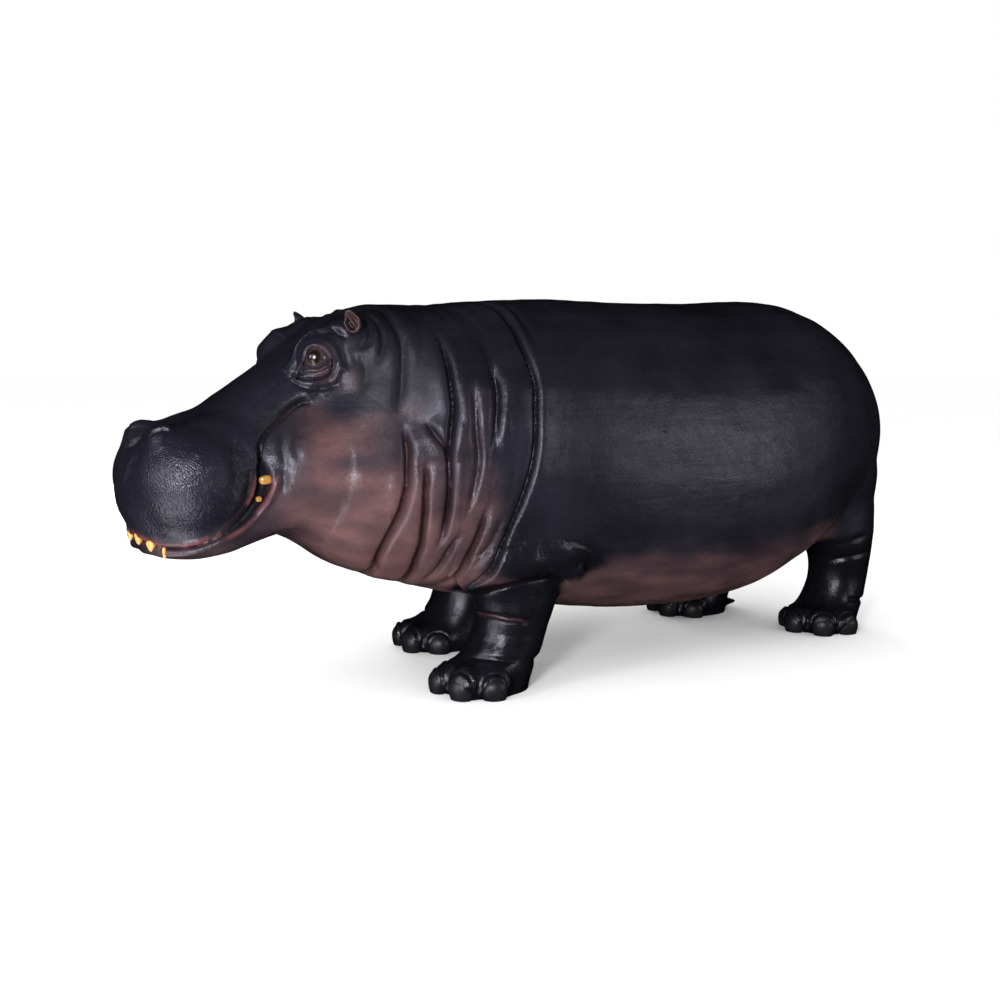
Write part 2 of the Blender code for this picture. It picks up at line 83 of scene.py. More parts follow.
LOWER_JAW = [
    (-0.85, 0.74, 0.48, 0.26, 0.5, 2.3), (-1.0, 0.74, 0.58, 0.27, 0.5, 2.3),
    (-1.15, 0.74, 0.59, 0.27, 0.45, 2.3), (-1.27, 0.73, 0.562, 0.265, 0.4, 2.4),
    (-1.36, 0.68, 0.538, 0.262, 0.4, 2.4), (-1.45, 0.65, 0.527, 0.245, 0.4, 2.4),
    (-1.52, 0.65, 0.528, 0.215, 0.4, 2.3), (-1.575, 0.65, 0.54, 0.16, 0.45, 2.2),
    (-1.61, 0.64, 0.565, 0.085, 0.5, 2.1),
]
# Level sections of a leg from the sole up: z, x and y from the sole's middle, half length and
# half width.
FRONT_LEG = [
    (BELOW_FLOOR, 0.0, 0.0, 0.135, 0.13), (0.0, 0.0, 0.0, 0.145, 0.14),
    (0.06, 0.01, 0.0, 0.15, 0.142), (0.13, 0.055, 0.0, 0.138, 0.136),
    (0.21, 0.095, 0.0, 0.132, 0.132), (0.31, 0.115, 0.0, 0.15, 0.142),
    (0.43, 0.09, -0.01, 0.185, 0.145), (0.56, 0.06, -0.04, 0.2, 0.13),
    (0.68, 0.04, -0.08, 0.15, 0.09),
]
HIND_LEG = [
    (BELOW_FLOOR, 0.0, 0.0, 0.125, 0.125), (0.0, 0.0, 0.0, 0.135, 0.135),
    (0.06, 0.005, 0.0, 0.14, 0.138), (0.13, 0.05, 0.0, 0.126, 0.126),
    (0.22, 0.08, 0.0, 0.12, 0.12), (0.32, 0.075, 0.005, 0.135, 0.132),
    (0.44, 0.025, 0.01, 0.19, 0.15), (0.6, -0.04, -0.005, 0.25, 0.16),
    (0.76, -0.1, -0.05, 0.22, 0.13),
]
# Each leg's sections, the x and y of its sole's middle, its side and how far it toes out.
LEGS = {
    "front_left": (FRONT_LEG, -0.46, 0.285, -1, 10),
    "front_right": (FRONT_LEG, -0.29, 0.32, 1, 8),
    "hind_left": (HIND_LEG, 1.235, 0.25, -1, 25),
    "hind_right": (HIND_LEG, 0.965, 0.27, 1, 10),
}
# Toes: degrees outward from straight ahead, reach to the toe's middle, and radius.
TOES = [(-58, 0.115, 0.05), (-20, 0.14, 0.056), (20, 0.14, 0.058), (58, 0.12, 0.054)]
SPUR = ((1.105, 0.235, 0.022), (0.095, 0.034, 0.022))  # behind the right hind foot: middle and radii
# Clay laid on both sides: middle, radii and turn of each lump.
LUMPS = [
    ((-1.45, 0.135, 0.78), (0.183, 0.17, 0.18), (0, 0, 8)),  # upper lip
    ((-1.35, 0.11, 0.84), (0.17, 0.13, 0.15), (0, 25, 0)),
    ((-1.03, 0.165, 1.17), (0.085, 0.082, 0.083), (0, 0, 0)),  # brow
    ((-0.91, 0.145, 1.2), (0.11, 0.095, 0.105), (0, 0, 0)),
    ((-1.518, 0.12, 0.898), (0.072, 0.055, 0.062), (0, 0, 0)),  # nostril
    ((-0.37, 0.29, 0.53), (0.25, 0.175, 0.16), (0, 0, 0)),  # shoulder
    ((1.16, 0.22, 0.66), (0.34, 0.22, 0.3), (0, 20, 0)),  # haunch
]
# The mouth's slit, from the front's middle to the corner and up the cheek: x, y, z, half
# height and depth.
MOUTH = [
    (-1.66, 0.0, 0.598, 0.011, 0.07), (-1.64, 0.11, 0.592, 0.011, 0.07),
    (-1.585, 0.205, 0.582, 0.01, 0.07), (-1.48, 0.275, 0.59, 0.01, 0.07),
    (-1.38, 0.3, 0.628, 0.012, 0.07), (-1.308, 0.3, 0.682, 0.018, 0.085),
    (-1.264, 0.285, 0.765, 0.028, 0.085), (-1.266, 0.275, 0.845, 0.014, 0.07),
    (-1.262, 0.265, 0.92, 0.008, 0.05), (-1.225, 0.262, 0.968, 0.006, 0.035),
    (-1.17, 0.265, 1.005, 0.005, 0.025), (-1.11, 0.27, 1.02, 0.004, 0.02),
]


def between(rows, steps=4):
    """The rows and smooth steps between them, by a Catmull-Rom curve through every value."""
    filled = []
    last = len(rows) - 1
    for i in range(last):
        four = rows[max(i - 1, 0)], rows[i], rows[i + 1], rows[min(i + 2, last)]
        for step in range(steps):
            t = step / steps
            weights = (
                (-t + 2 * t**2 - t**3) / 2,
                (2 - 5 * t**2 + 3 * t**3) / 2,
                (t + 4 * t**2 - 3 * t**3) / 2,
                (-(t**2) + t**3) / 2,
            )
            filled.append([sum(w * v for w, v in zip(weights, column)) for column in zip(*four)])
    filled.append(list(rows[last]))
    return filled


def ring(bm, centre, side, up, down, squareness, points=28):
    """A closed loop of points: half an oval above the middle and half an oval below it."""
    made = bmesh.ops.create_circle(bm, segments=points, radius=1.0)["verts"]
    for vert in made:
        across = math.copysign(abs(vert.co.x) ** (2 / squareness), vert.co.x)
        height = abs(vert.co.y) ** (2 / squareness)
        vert.co = centre + side * across + (up if vert.co.y > 0 else down) * height
    return made


def bridge(bm, rings):
    """A closed skin over the rings."""
    loops = [[e for v in made for e in v.link_edges if e.other_vert(v) in made] for made in rings]
    for first, second in zip(loops, loops[1:]):
        bmesh.ops.bridge_loops(bm, edges=list(dict.fromkeys(first + second)))
    for end in (rings[0], rings[-1]):
        bmesh.ops.contextual_create(bm, geom=end)


def lump(bm, centre, radii, turn=(0, 0, 0), segments=24):
    angles = Euler([math.radians(a) for a in turn])
    place = Matrix.LocRotScale(Vector(centre), angles, Vector(radii))
    return bmesh.ops.create_uvsphere(
        bm, u_segments=segments, v_segments=segments // 2, radius=1.0, matrix=place
    )["verts"]


def new_piece(name, bm, material=None):
    mesh = bpy.data.meshes.new(name)
    bm.to_mesh(mesh)
    bm.free()
    if material:
        mesh.shade_smooth()
        mesh.materials.append(material)
    made = bpy.data.objects.new(name, mesh)
    bpy.context.scene.collection.objects.link(made)
    return made


def settle(piece):
    """Makes what the piece's modifiers give its own mesh."""
    bpy.context.view_layer.update()
    graph = bpy.context.evaluated_depsgraph_get()
    mesh = bpy.data.meshes.new_from_object(
        piece.evaluated_get(graph), preserve_all_data_layers=True, depsgraph=graph
    )
    piece.modifiers.clear()
    piece.data = mesh


def toes():
    """Each toe's leg, number, middle, direction and radius."""
    for leg, (_, x, y, side, toed_out) in LEGS.items():
        for number, (spread, reach, radius) in enumerate(TOES):
            angle = math.radians(spread + toed_out)
            ahead = Vector((-math.cos(angle), side * math.sin(angle), 0))
            yield leg, number, Vector((x, side * y, radius * 0.8)) + ahead * reach, ahead, radius


clay = bmesh.new()
for sections in (TRUNK, SNOUT, CHEEKS, LOWER_JAW):
    rings = []
    for x, top, bottom, half_width, widest, squareness in between(sections):
        middle = bottom + (top - bottom) * widest
        up, down = Vector((0, 0, top - middle)), Vector((0, 0, bottom - middle))
        side = Vector((0, half_width, 0))
        rings.append(ring(clay, Vector((x, 0, middle)), side, up, down, squareness))
    bridge(clay, rings)
for sections, x, y, side, _ in LEGS.values():
    rings = []
    for z, dx, dy, half_length, half_width in between(sections):
        width = Vector((0, half_width, 0))
        centre = Vector((x + dx, side * (y + dy), z))
        rings.append(ring(clay, centre, Vector((half_length, 0, 0)), width, -width, 2.2))
    bridge(clay, rings)
for (x, y, z), radii, (roll, pitch, yaw) in LUMPS:
    for side in (-1, 1):
        lump(clay, (x, side * y, z), radii, (side * roll, pitch, side * yaw))
for _, _, middle, ahead, radius in toes():
    yaw = math.degrees(math.atan2(ahead.y, ahead.x))
    lump(clay, middle, (radius * 1.4, radius * 1.18, radius * 1.1), (0, 0, yaw))
lump(clay, *SPUR)
bmesh.ops.recalc_face_normals(clay, faces=clay.faces)

slit = bmesh.new()
right_half = between(MOUTH, 2)
path = [(row, -1) for row in reversed(right_half)] + [(row, 1) for row in right_half[1:]]
lips = []
for (x, y, z, half_height, depth), side in path:
    inward = Vector((min(0.0, x + 1.42) * -1.3, -side * y, 0)).normalized() * depth
    lips.append((Vector((x, side * y, z)), inward, half_height))
rings, across_lips = [], []
for i, (centre, inward, half_height) in enumerate(lips):
    along = lips[min(i + 1, len(lips) - 1)][0] - lips[max(i - 1, 0)][0]
    across_lips.append(along.cross(inward).normalized())
    thin = across_lips[i] * half_height
    rings.append(ring(slit, centre, inward, thin, -thin, 2.0, 8))
bridge(slit, rings)
bmesh.ops.recalc_face_normals(slit, faces=slit.faces)

skin = new_piece("skin", clay)
mouth_cutter = new_piece("mouth_cutter", slit)
fuse = skin.modifiers.new("fuse", "REMESH")
fuse.mode, fuse.voxel_size = "VOXEL", CLAY_GRAIN
soften = skin.modifiers.new("soften", "SMOOTH")
soften.factor, soften.iterations = 0.5, CLAY_SMOOTHING
round_off = skin.modifiers.new("round_off", "SUBSURF")
round_off.levels = round_off.render_levels = 1
open_mouth = skin.modifiers.new("open_mouth", "BOOLEAN")
open_mouth.object = mouth_cutter
fine = skin.modifiers.new("fine", "REMESH")
fine.mode, fine.voxel_size = "VOXEL", FINE_GRAIN
finish_clay = skin.modifiers.new("finish_clay", "SMOOTH")
finish_clay.factor, finish_clay.iterations = 0.5, 2
settle(skin)
bpy.data.objects.remove(mouth_cutter)

# --- Folds, creases and leather ------------------------------------------------------------------
# The sculptor pressed every fold into the wet clay with a loop tool and rolled its edges up.
# A fold is a path of a few points on the left side, in millimetres, pressed in and repeated on
# the right; the same pass notes where the red paint goes, and where black is laid into the
# grooves as painted shade.

EYE_OUT = Vector((-0.391, -0.92, 0.023)).normalized()  # the way that the eye's opening faces
EYE_BACK = Vector((0.92, -0.391, 0.0)).normalized()  # along the opening, towards the ear
EYE_UP = EYE_OUT.cross(EYE_BACK).normalized()
EYE_CENTRE = Vector((-1.053, -0.206, 1.164)) - EYE_OUT * 0.002
# Where the clay is worked more finely: middle, reach and cuts.
FINE_PLACES = [(EYE_CENTRE, 0.125, 2), (Vector((-1.552, -0.145, 0.935)), 0.07, 1)]
PATH_STEP = 0.012  # between the places along a fold

bm = bmesh.new()
bm.from_mesh(skin.data)
for middle, reach, cuts in FINE_PLACES:
    for hand in (1, -1):
        centre = middle * Vector((1, hand, 1))
        around = [
            e for e in bm.edges
            if all((v.co - centre).length < reach and v.co.y * hand < 0.0 for v in e.verts)
            and e.calc_length() > FINE_GRAIN * 0.6
        ]
        if around:
            bmesh.ops.subdivide_edges(bm, edges=around, cuts=cuts, use_grid_fill=True)
bm.to_mesh(skin.data)
bm.free()

places = [v.co.copy() for v in skin.data.vertices]
facing = [Vector(n.vector) for n in skin.data.vertex_normals]
lift = [0.0] * len(places)
red = [0.0] * len(places)
# How strongly each place is painted black as painted shade, in grooves, slits and creases.
soot = [0.0] * len(places)
near = kdtree.KDTree(len(places))
for index, place in enumerate(places):
    near.insert(place, index)
near.balance()


def ease(value, low=0.0, high=1.0):
    """A smooth step from 0 at low to 1 at high."""
    t = min(1.0, max(0.0, (value - low) / (high - low)))
    return t * t * (3 - 2 * t)


def smooth_path(points, step):
    """Points about a step apart on a smooth curve through the given ones."""
    rows = [tuple(p) for p in points]
    length = sum((Vector(a) - Vector(b)).length for a, b in zip(rows, rows[1:]))
    steps = max(1, math.ceil(length / step / (len(rows) - 1)))
    return [Vector(row) for row in between(rows, steps)]


def press(points, width, depth, before, behind, paint=0.0, dark=0.4, paint_width=0.008, ends=0.3,
          hands=(1, -1), step=Vector()):
    """Presses a groove along a path, and raises a roll on each side of it.

    before and behind are (height, distance of its crest) of the roll on the side towards the
    head and towards the tail, for a path that runs downwards. ends is the share of the path
    over which each end fades. step is from the left side's mirror image to the right side.
    A depth below 0 raises a ridge instead. dark is how strongly a groove is painted black as
    painted shade; a ridge gets none.
    """
    for hand in hands:
        dx, dy = (step.x, step.y) if hand < 0 else (0, 0)
        path = smooth_path([(x + dx, (y - dy) * hand, z) for x, y, z in points], PATH_STEP)
        last = len(path) - 1
        on_skin = []
        for point in path:
            out = sum((facing[i] for _, i, _ in near.find_n(point, 10)), Vector()).normalized()
            on_skin.append((point + out * (near.find(point)[0] - point).dot(out), out))
        reach = max(2.6 * width, *(4.0 * crest for height, crest in (before, behind) if height), 0.014)
        best = {}
        for k, (spot, out) in enumerate(on_skin):
            along = (on_skin[min(k + 1, last)][0] - on_skin[max(k - 1, 0)][0]).normalized()
            side = out.cross(along).normalized() * hand
            for co, i, _ in near.find_range(spot, reach):
                offset = co - spot
                slide = min(PATH_STEP / 2, max(-PATH_STEP / 2, offset.dot(along)))
                square = offset.length_squared - slide * (2 * offset.dot(along) - slide)
                if (i not in best or square < best[i][0]) and facing[i].dot(out) > -0.2:
                    best[i] = (square, k + slide / PATH_STEP, offset.dot(side))
        for i, (square, k, across) in best.items():
            distance = math.sqrt(max(0.0, square))
            strength = ease(min(k, last - k) / max(1.0, ends * last))
            hollow = math.exp(-((distance / width) ** 2))
            height, crest = behind if across > 0 else before
            rolled = distance / crest
            lift[i] += strength * (height * rolled * math.exp(1 - rolled) - depth * hollow)
            red[i] = max(red[i], paint * strength * math.exp(-((distance / paint_width) ** 2)))
            # Black painted shade along the groove's bottom.
            soot[i] = max(soot[i], dark * strength * hollow * (depth > 0))


def fold(path, width, depth, before=(0, 30), behind=(0, 30), paint_width=8, **how):
    """Presses a fold into both sides, with every length in millimetres."""
    points = [[length / 1000 for length in point] for point in path]
    rolls = [(height / 1000, crest / 1000) for height, crest in (before, behind)]
    press(points, width / 1000, depth / 1000, *rolls, paint_width=paint_width / 1000, **how)


def swell(centre, radius, height, hands=(1, -1)):
    """Raises a soft round place, with every length in millimetres."""
    radius, height = radius / 1000, height / 1000
    for hand in hands:
        spot = Vector((centre[0] / 1000, centre[1] / 1000 * hand, centre[2] / 1000))
        for _, i, distance in near.find_range(spot, radius * 2.2):
            lift[i] += height * math.exp(-((distance / radius) ** 2))


# Muzzle: nostril slits between two rolls, blackened inside as painted shade, the ridge in front,
# and the swollen rear edge.
swell((-1556, -150, 930), 45, 10)
fold([(-1590, -120, 924), (-1572, -141, 933), (-1555, -150, 939), (-1538, -156, 942),
      (-1520, -166, 940)], 5.5, 16, (9, 18), (9, 18), dark=1.0)
fold([(-1560, -50, 930), (-1592, -55, 905), (-1604, -85, 882)], 12, 8, (5, 25), (6, 22))
fold([(-1600, -20, 862), (-1628, -40, 815), (-1640, -20, 780)], 20, 8)
fold([(-1306, -262, 850), (-1313, -270, 810), (-1328, -275, 780), (-1345, -275, 740),
      (-1362, -270, 700), (-1390, -262, 660)], 18, -10)
fold([(-1375, -262, 880), (-1350, -270, 840), (-1352, -280, 790), (-1375, -285, 740)],
     30, 8, ends=0.35)

# Lips: a red rim under the upper one, a rolled edge on the lower one, and the mouth's corner.
fold([(-1640, 0, 606), (-1620, -80, 600), (-1580, -140, 590), (-1513, -200, 590),
      (-1460, -235, 602), (-1402, -255, 625), (-1337, -260, 670), (-1300, -255, 715),
      (-1283, -250, 760), (-1276, -240, 805)], 10, -3, paint=0.95, ends=0.03, paint_width=13)
fold([(-1226, -285, 800), (-1236, -280, 762), (-1254, -268, 716), (-1296, -255, 664),
      (-1350, -255, 625), (-1422, -250, 594), (-1480, -232, 574), (-1544, -183, 558),
      (-1590, -110, 554), (-1606, 0, 554)], 11, -10, ends=0.08)
fold([(-1224, -290, 805), (-1232, -285, 785), (-1245, -275, 748), (-1265, -262, 706),
      (-1304, -252, 661), (-1355, -254, 624), (-1420, -248, 598)],
     6, 3, paint=0.85, dark=0.0, ends=0.15, paint_width=10)
fold([(-1216, -270, 815), (-1205, -285, 800), (-1206, -290, 770), (-1216, -285, 735)],
     14, 6, (0, 20), (5, 25), dark=0.8, ends=0.35)
fold([(-1264, -235, 800), (-1267, -230, 840), (-1262, -226, 875), (-1252, -222, 909),
      (-1236, -216, 933), (-1205, -212, 962), (-1165, -212, 995), (-1130, -215, 1018),
      (-1104, -220, 1027), (-1085, -230, 1021)], 11, 14, (8, 20), (10, 22), dark=0.95, ends=0.1)
fold([(-1232, -214, 934), (-1205, -212, 960), (-1165, -212, 993), (-1130, -215, 1016),
      (-1104, -220, 1025), (-1080, -232, 1016)], 6, 0, paint=1.0, ends=0.2, paint_width=6.5)
# The cheek pad behind the groove, with soft folds that follow it.
fold([(-1175, -270, 990), (-1195, -262, 945), (-1205, -275, 895), (-1203, -288, 850),
      (-1190, -298, 810)], 14, 6, (3, 25), (4, 25), ends=0.35)
fold([(-1140, -290, 975), (-1160, -288, 930), (-1168, -295, 880), (-1160, -302, 835)],
     16, 5, (3, 25), (4, 30), ends=0.35)
swell((-1105, -310, 850), 85, 12)
swell((-960, -335, 760), 110, 12)
swell((-930, -260, 560), 100, 12)
fold([(-1190, -290, 700), (-1120, -305, 690), (-1050, -315, 670), (-980, -320, 640)],
     25, 7, ends=0.35)
fold([(-1235, -240, 600), (-1180, -235, 590), (-1130, -225, 570)], 12, 8, paint=0.3)

# Brow, temple and the folds round the ear.
fold([(-1085, -180, 1222), (-1055, -194, 1238), (-1020, -190, 1250), (-991, -195, 1250),
      (-971, -212, 1240), (-950, -228, 1222)], 10, 12, (6, 20), (10, 22))
swell((-945, -245, 1120), 44, 11)
swell((-970, 0, 1290), 85, 13, (1,))
for knob in ((-1040, 10, 1265), (-1000, -15, 1280), (-965, 20, 1292), (-925, -10, 1305),
             (-880, 15, 1315), (-985, -70, 1278), (-930, -100, 1295)):
    swell(knob, 15, 7)
fold([(-985, -240, 1185), (-972, -240, 1150), (-975, -245, 1105), (-995, -245, 1070)],
     12, 5, ends=0.35)
fold([(-915, -235, 1175), (-905, -255, 1130), (-912, -268, 1085), (-935, -275, 1050)],
     18, 8, (2, 30), (6, 35), ends=0.35)
fold([(-905, -120, 1312), (-880, -150, 1312), (-868, -195, 1292), (-868, -232, 1258),
      (-882, -252, 1222), (-905, -252, 1200), (-935, -243, 1196)],
     12, 10, (0, 15), (12, 28), dark=0.7)
fold([(-868, -130, 1320), (-848, -180, 1300), (-838, -228, 1262), (-842, -256, 1215),
      (-856, -272, 1168), (-880, -275, 1130)], 15, 14, (4, 20), (12, 30), dark=0.6)
fold([(-842, -110, 1330), (-822, -180, 1305), (-814, -235, 1262), (-820, -270, 1205),
      (-832, -290, 1140)], 16, 9, (3, 30), (6, 35), dark=0.5, ends=0.35)
fold([(-800, -60, 1338), (-794, -143, 1325), (-792, -217, 1290), (-790, -275, 1235),
      (-798, -310, 1165), (-812, -330, 1095), (-826, -345, 1030), (-838, -350, 975)],
     19, 18, (5, 35), (11, 45), dark=0.6, ends=0.25)

# Neck: deep pink-lined creases between heavy rolls.
fold([(-826, -361, 960), (-820, -375, 910), (-816, -380, 860), (-818, -382, 805), (-821, -380, 754),
      (-829, -370, 704), (-838, -358, 660), (-851, -340, 620), (-862, -315, 580), (-870, -283, 540),
      (-866, -240, 500), (-850, -190, 470), (-840, -100, 450), (-840, 0, 445)],
     10, 30, (12, 45), (20, 30), paint=0.75, dark=0.45, ends=0.14)
fold([(-764, -390, 830), (-761, -395, 785), (-763, -391, 735), (-758, -376, 663), (-754, -358, 604),
      (-746, -333, 553), (-745, -293, 499), (-736, -231, 439), (-725, -150, 405), (-720, -50, 395)],
     10, 27, (18, 28), (18, 30), paint=0.7, dark=0.45, ends=0.16)
fold([(-655, -290, 1240), (-660, -325, 1200), (-662, -375, 1130), (-666, -400, 1075),
      (-667, -418, 1001), (-680, -425, 930), (-690, -427, 849), (-688, -425, 770),
      (-686, -410, 690), (-688, -394, 623), (-690, -375, 575), (-700, -345, 530)],
     10, 26, (12, 26), (20, 34), paint=0.2, dark=0.75, ends=0.2)
fold([(-757, -390, 960), (-728, -406, 915), (-700, -421, 870), (-685, -425, 820)],
     10, 18, (10, 22), (12, 22), paint=0.2, dark=0.3)
fold([(-505, -400, 1150), (-512, -420, 1109), (-514, -442, 1057), (-523, -457, 999),
      (-533, -467, 953), (-538, -470, 904), (-545, -470, 835)],
     15, 18, (8, 30), (12, 35), dark=0.25)
fold([(-590, -400, 1110), (-598, -430, 1030), (-602, -448, 929), (-596, -454, 863),
      (-599, -455, 797), (-617, -440, 697), (-640, -420, 620)],
     13, 16, (8, 26), (10, 30), paint=0.25)
fold([(-560, -452, 700), (-566, -448, 651), (-572, -433, 609), (-580, -414, 563), (-587, -391, 526),
      (-591, -365, 485), (-596, -332, 452), (-601, -298, 423), (-610, -220, 385),
      (-620, -120, 360)], 10, 22, (13, 26), (15, 28), paint=0.6, ends=0.25)
fold([(-640, -415, 600), (-660, -370, 520), (-670, -310, 460), (-680, -220, 415)],
     11, 16, (9, 25), (10, 25), paint=0.5)
fold([(-500, -440, 660), (-515, -425, 600), (-530, -400, 540), (-548, -360, 480)],
     14, 8, (4, 25), (4, 25), paint=0.3)

# The great shoulder fold, from the spine down to the armpit, and the shallow one beside it.
fold([(-372, -40, 1356), (-372, -126, 1348), (-374, -189, 1330), (-377, -249, 1307),
      (-378, -300, 1277), (-380, -345, 1245), (-380, -405, 1177), (-377, -455, 1094),
      (-382, -478, 1045), (-390, -492, 996), (-398, -503, 934), (-404, -508, 871),
      (-413, -508, 821), (-424, -504, 775), (-439, -499, 725), (-454, -489, 674), (-469, -475, 630),
      (-482, -459, 588), (-493, -444, 549), (-504, -430, 514), (-518, -408, 467), (-533, -366, 431),
      (-550, -300, 395)], 9.5, 24, (6, 30), (11, 22), dark=0.95, ends=0.08)
fold([(-350, -140, 1350), (-325, -210, 1325), (-328, -285, 1290), (-335, -348, 1243),
      (-336, -400, 1190)], 14, 7, (3, 25), (5, 30), ends=0.35)

# Front legs: the pink fold at the armpit, the wrist, the ankle and the heel.
FRONT_STEP = Vector((0.17, 0.035, 0.0))  # from the left front leg to the right one, mirrored
fold([(-540, -250, 340), (-520, -295, 350), (-510, -343, 366), (-497, -375, 378), (-468, -402, 390),
      (-433, -417, 400), (-374, -428, 410), (-295, -428, 410), (-235, -420, 396),
      (-200, -400, 370)],
     10, 30, (6, 20), (34, 36), paint=0.8, dark=0.3, ends=0.15, step=FRONT_STEP)
fold([(-168, -435, 500), (-160, -430, 450), (-165, -415, 405), (-185, -400, 365)],
     11, 20, (18, 26), (0, 20), dark=0.8, step=FRONT_STEP)
fold([(-500, -240, 266), (-492, -279, 268), (-479, -355, 271), (-448, -395, 264), (-411, -415, 260),
      (-365, -420, 248)],
     8, 9, (6, 20), (8, 22), paint=0.62, dark=0.2, paint_width=7, ends=0.2, step=FRONT_STEP)
fold([(-560, -300, 135), (-540, -345, 132), (-507, -385, 128), (-460, -415, 122),
      (-400, -420, 120)], 10, 7, (4, 20), (4, 20), step=FRONT_STEP)
fold([(-365, -415, 105), (-315, -370, 100), (-300, -285, 98), (-315, -200, 100)],
     18, 7, (3, 30), (4, 30), dark=0.2, ends=0.35, step=FRONT_STEP)

for knob in ((-470, -430, 475), (-400, -450, 487), (-330, -465, 494), (-260, -460, 488)):
    swell(knob, 55, 19)

# Hind legs: creases over the hock and the groin.
HIND_STEP = Vector((-0.27, 0.02, 0.0))
fold([(1185, -297, 290), (1205, -340, 300), (1245, -375, 315), (1310, -386, 325),
      (1380, -360, 330)], 11, 8, (3, 25), (5, 30), paint=0.15, step=HIND_STEP)
fold([(1165, -330, 360), (1210, -375, 385), (1280, -405, 400), (1360, -400, 410)],
     16, 6, (2, 30), (4, 35), ends=0.35, step=HIND_STEP)
fold([(1235, -385, 140), (1290, -390, 130), (1350, -360, 120), (1385, -300, 110)],
     10, 8, (4, 20), (4, 20), step=HIND_STEP)
fold([(930, -420, 380), (1000, -420, 430), (1050, -430, 500), (1080, -440, 580)],
     22, 14, (5, 50), (10, 60), paint=0.5, ends=0.35)

# Toes: the clefts between them and the cuticle over each nail, both darkened with painted shade.
CUTICLE = 0.05
CLEFT = ((0.19, 0.0), (0.186, 0.04), (0.17, 0.075), (0.14, 0.11))  # reach and height
for leg, number, middle, ahead, radius in toes():
    across = Vector((-ahead.y, ahead.x, 0))
    arch = []
    for k in range(7):
        angle = math.pi * (k / 6)
        back = 0.006 + 0.012 * math.sin(angle)
        arch.append(middle + ahead * radius + across * math.cos(angle) * CUTICLE - ahead * back
                    + Vector((0, 0, math.sin(angle) * CUTICLE - 0.01)))
    press(arch, 0.006, 0.006, (0.002, 0.01), (0.007, 0.012), dark=0.5, ends=0.12, hands=(1,))
    if number < 3:
        _, x, y, side, toed_out = LEGS[leg]
        angle = math.radians((TOES[number][0] + TOES[number + 1][0]) / 2 + toed_out)
        out = Vector((-math.cos(angle), side * math.sin(angle), 0))
        sole = Vector((x, side * y, 0))
        cleft = [sole + out * reach + Vector((0, 0, height)) for reach, height in CLEFT]
        press(cleft, 0.01, 0.013, (0.002, 0.02), (0.002, 0.02), dark=0.5, ends=0.35, hands=(1,))


def above_mouth(place):
    """1 above the upper lip's edge and 0 below it."""
    rows = [(x, z) for x, _, z, _, _ in MOUTH[:7]]  # as far as the mouth's corner
    height = rows[0][1]
    for (x0, z0), (x1, z1) in zip(rows, rows[1:]):
        height += (z1 - z0) * min(1.0, max(0.0, (place.x - x0) / (x1 - x0)))
    return ease(place.z - height, 0.02, 0.045)


# Leather: pebbles on the muzzle that run together into slanting ridges, faint upright streaks on
# the neck, and a slow unevenness everywhere, as hand-worked clay has.
UNEVENNESS = ((0.0035, 5.0), (0.0012, 17.0))  # height, and waves to a metre
MUZZLE_RELIEF, NECK_RELIEF = 0.0008, 0.006
for i, place in enumerate(places):
    x, y, z = place
    lift[i] += sum(height * noise.noise(place * waves) for height, waves in UNEVENNESS)
    muzzle = ease(-1.25 - x, 0.0, 0.12) * ease(0.93 - z, 0.0, 0.1) * above_mouth(place)
    if muzzle > 0.0:
        slant = Vector((x * 62 + z * 34, y * 48, z * 80 - x * 20))
        slant += noise.noise_vector(place * 14.0) * 0.9
        cell = noise.voronoi(slant, distance_metric="DISTANCE", exponent=2.5)[0]
        lift[i] += muzzle * MUZZLE_RELIEF * (min(cell[1] - cell[0], 0.45) - 0.25)
    neck = ease(x, -0.86, -0.72) * ease(-0.34 - x, 0.0, 0.12)
    if neck > 0.0:
        lift[i] += neck * NECK_RELIEF * noise.noise(Vector((x * 16, y * 3, z * 2.2)))
for i, vertex in enumerate(skin.data.vertices):
    vertex.co = places[i] + facing[i] * lift[i]

# --- The eyelids ---------------------------------------------------------------------------------
# The lids are part of the casting. They are modelled round each glass eye: an arched upper lid,
# three small folds under the glass, a black crease and a pouch, and a ridge round them all. The
# skin inside the opening is sunk behind the glass. The black along the crease, the small folds
# and the glass's lower edge is painted shade.

EYE_RADIUS = 0.045
LID_REACH = 0.135  # how far from the eye's middle the lids are worked
GLASS_SET_BACK = 0.006
LID_THICKNESS = 0.004
GLASS_SINK = 0.005  # how far the skin lies behind the glass
FOLD_DEPTH, CREASE_DEPTH, POUCH_DEPTH = 0.004, 0.01, 0.0045
BROW_HEIGHT, POUCH_HEIGHT, RIDGE_HEIGHT = 0.006, 0.007, 0.0075
# Lines on the lids, in millimetres back and up from the eye's middle.
UPPER_LID = [(-64, -62), (-52, -38), (-42, -18), (-34, 6), (-29, 21), (-20, 31), (-6, 35), (16, 30),
             (34, 14), (43, -8), (45, -30)]
GLASS_TOP = [(-41, -20), (-36, -2), (-32, 14), (-27, 24), (-19, 30), (-6, 33), (14, 28), (31, 13), (40, -5)]
GLASS_BOTTOM = [(40, -5), (32, -12), (12, -21), (-10, -26), (-28, -25), (-41, -20)]
LOWER_FOLDS = [
    [(-48, -40), (-27, -37), (2, -34), (30, -25), (44, -12)],
    [(-56, -53), (-32, -49), (-2, -47), (26, -39), (44, -25)],
]
BLACK_CREASE = [(-66, -66), (-37, -68), (-12, -67), (17, -64), (36, -56), (46, -42), (49, -26), (48, -8)]
POUCH_CREASE = [(-74, -84), (-40, -96), (0, -100), (37, -96), (66, -80), (80, -52)]
OUTER_RIDGE = [(-84, -46), (-58, -4), (-42, 26), (-18, 48), (10, 52), (34, 42), (58, 16), (74, -16),
               (76, -48), (64, -72)]


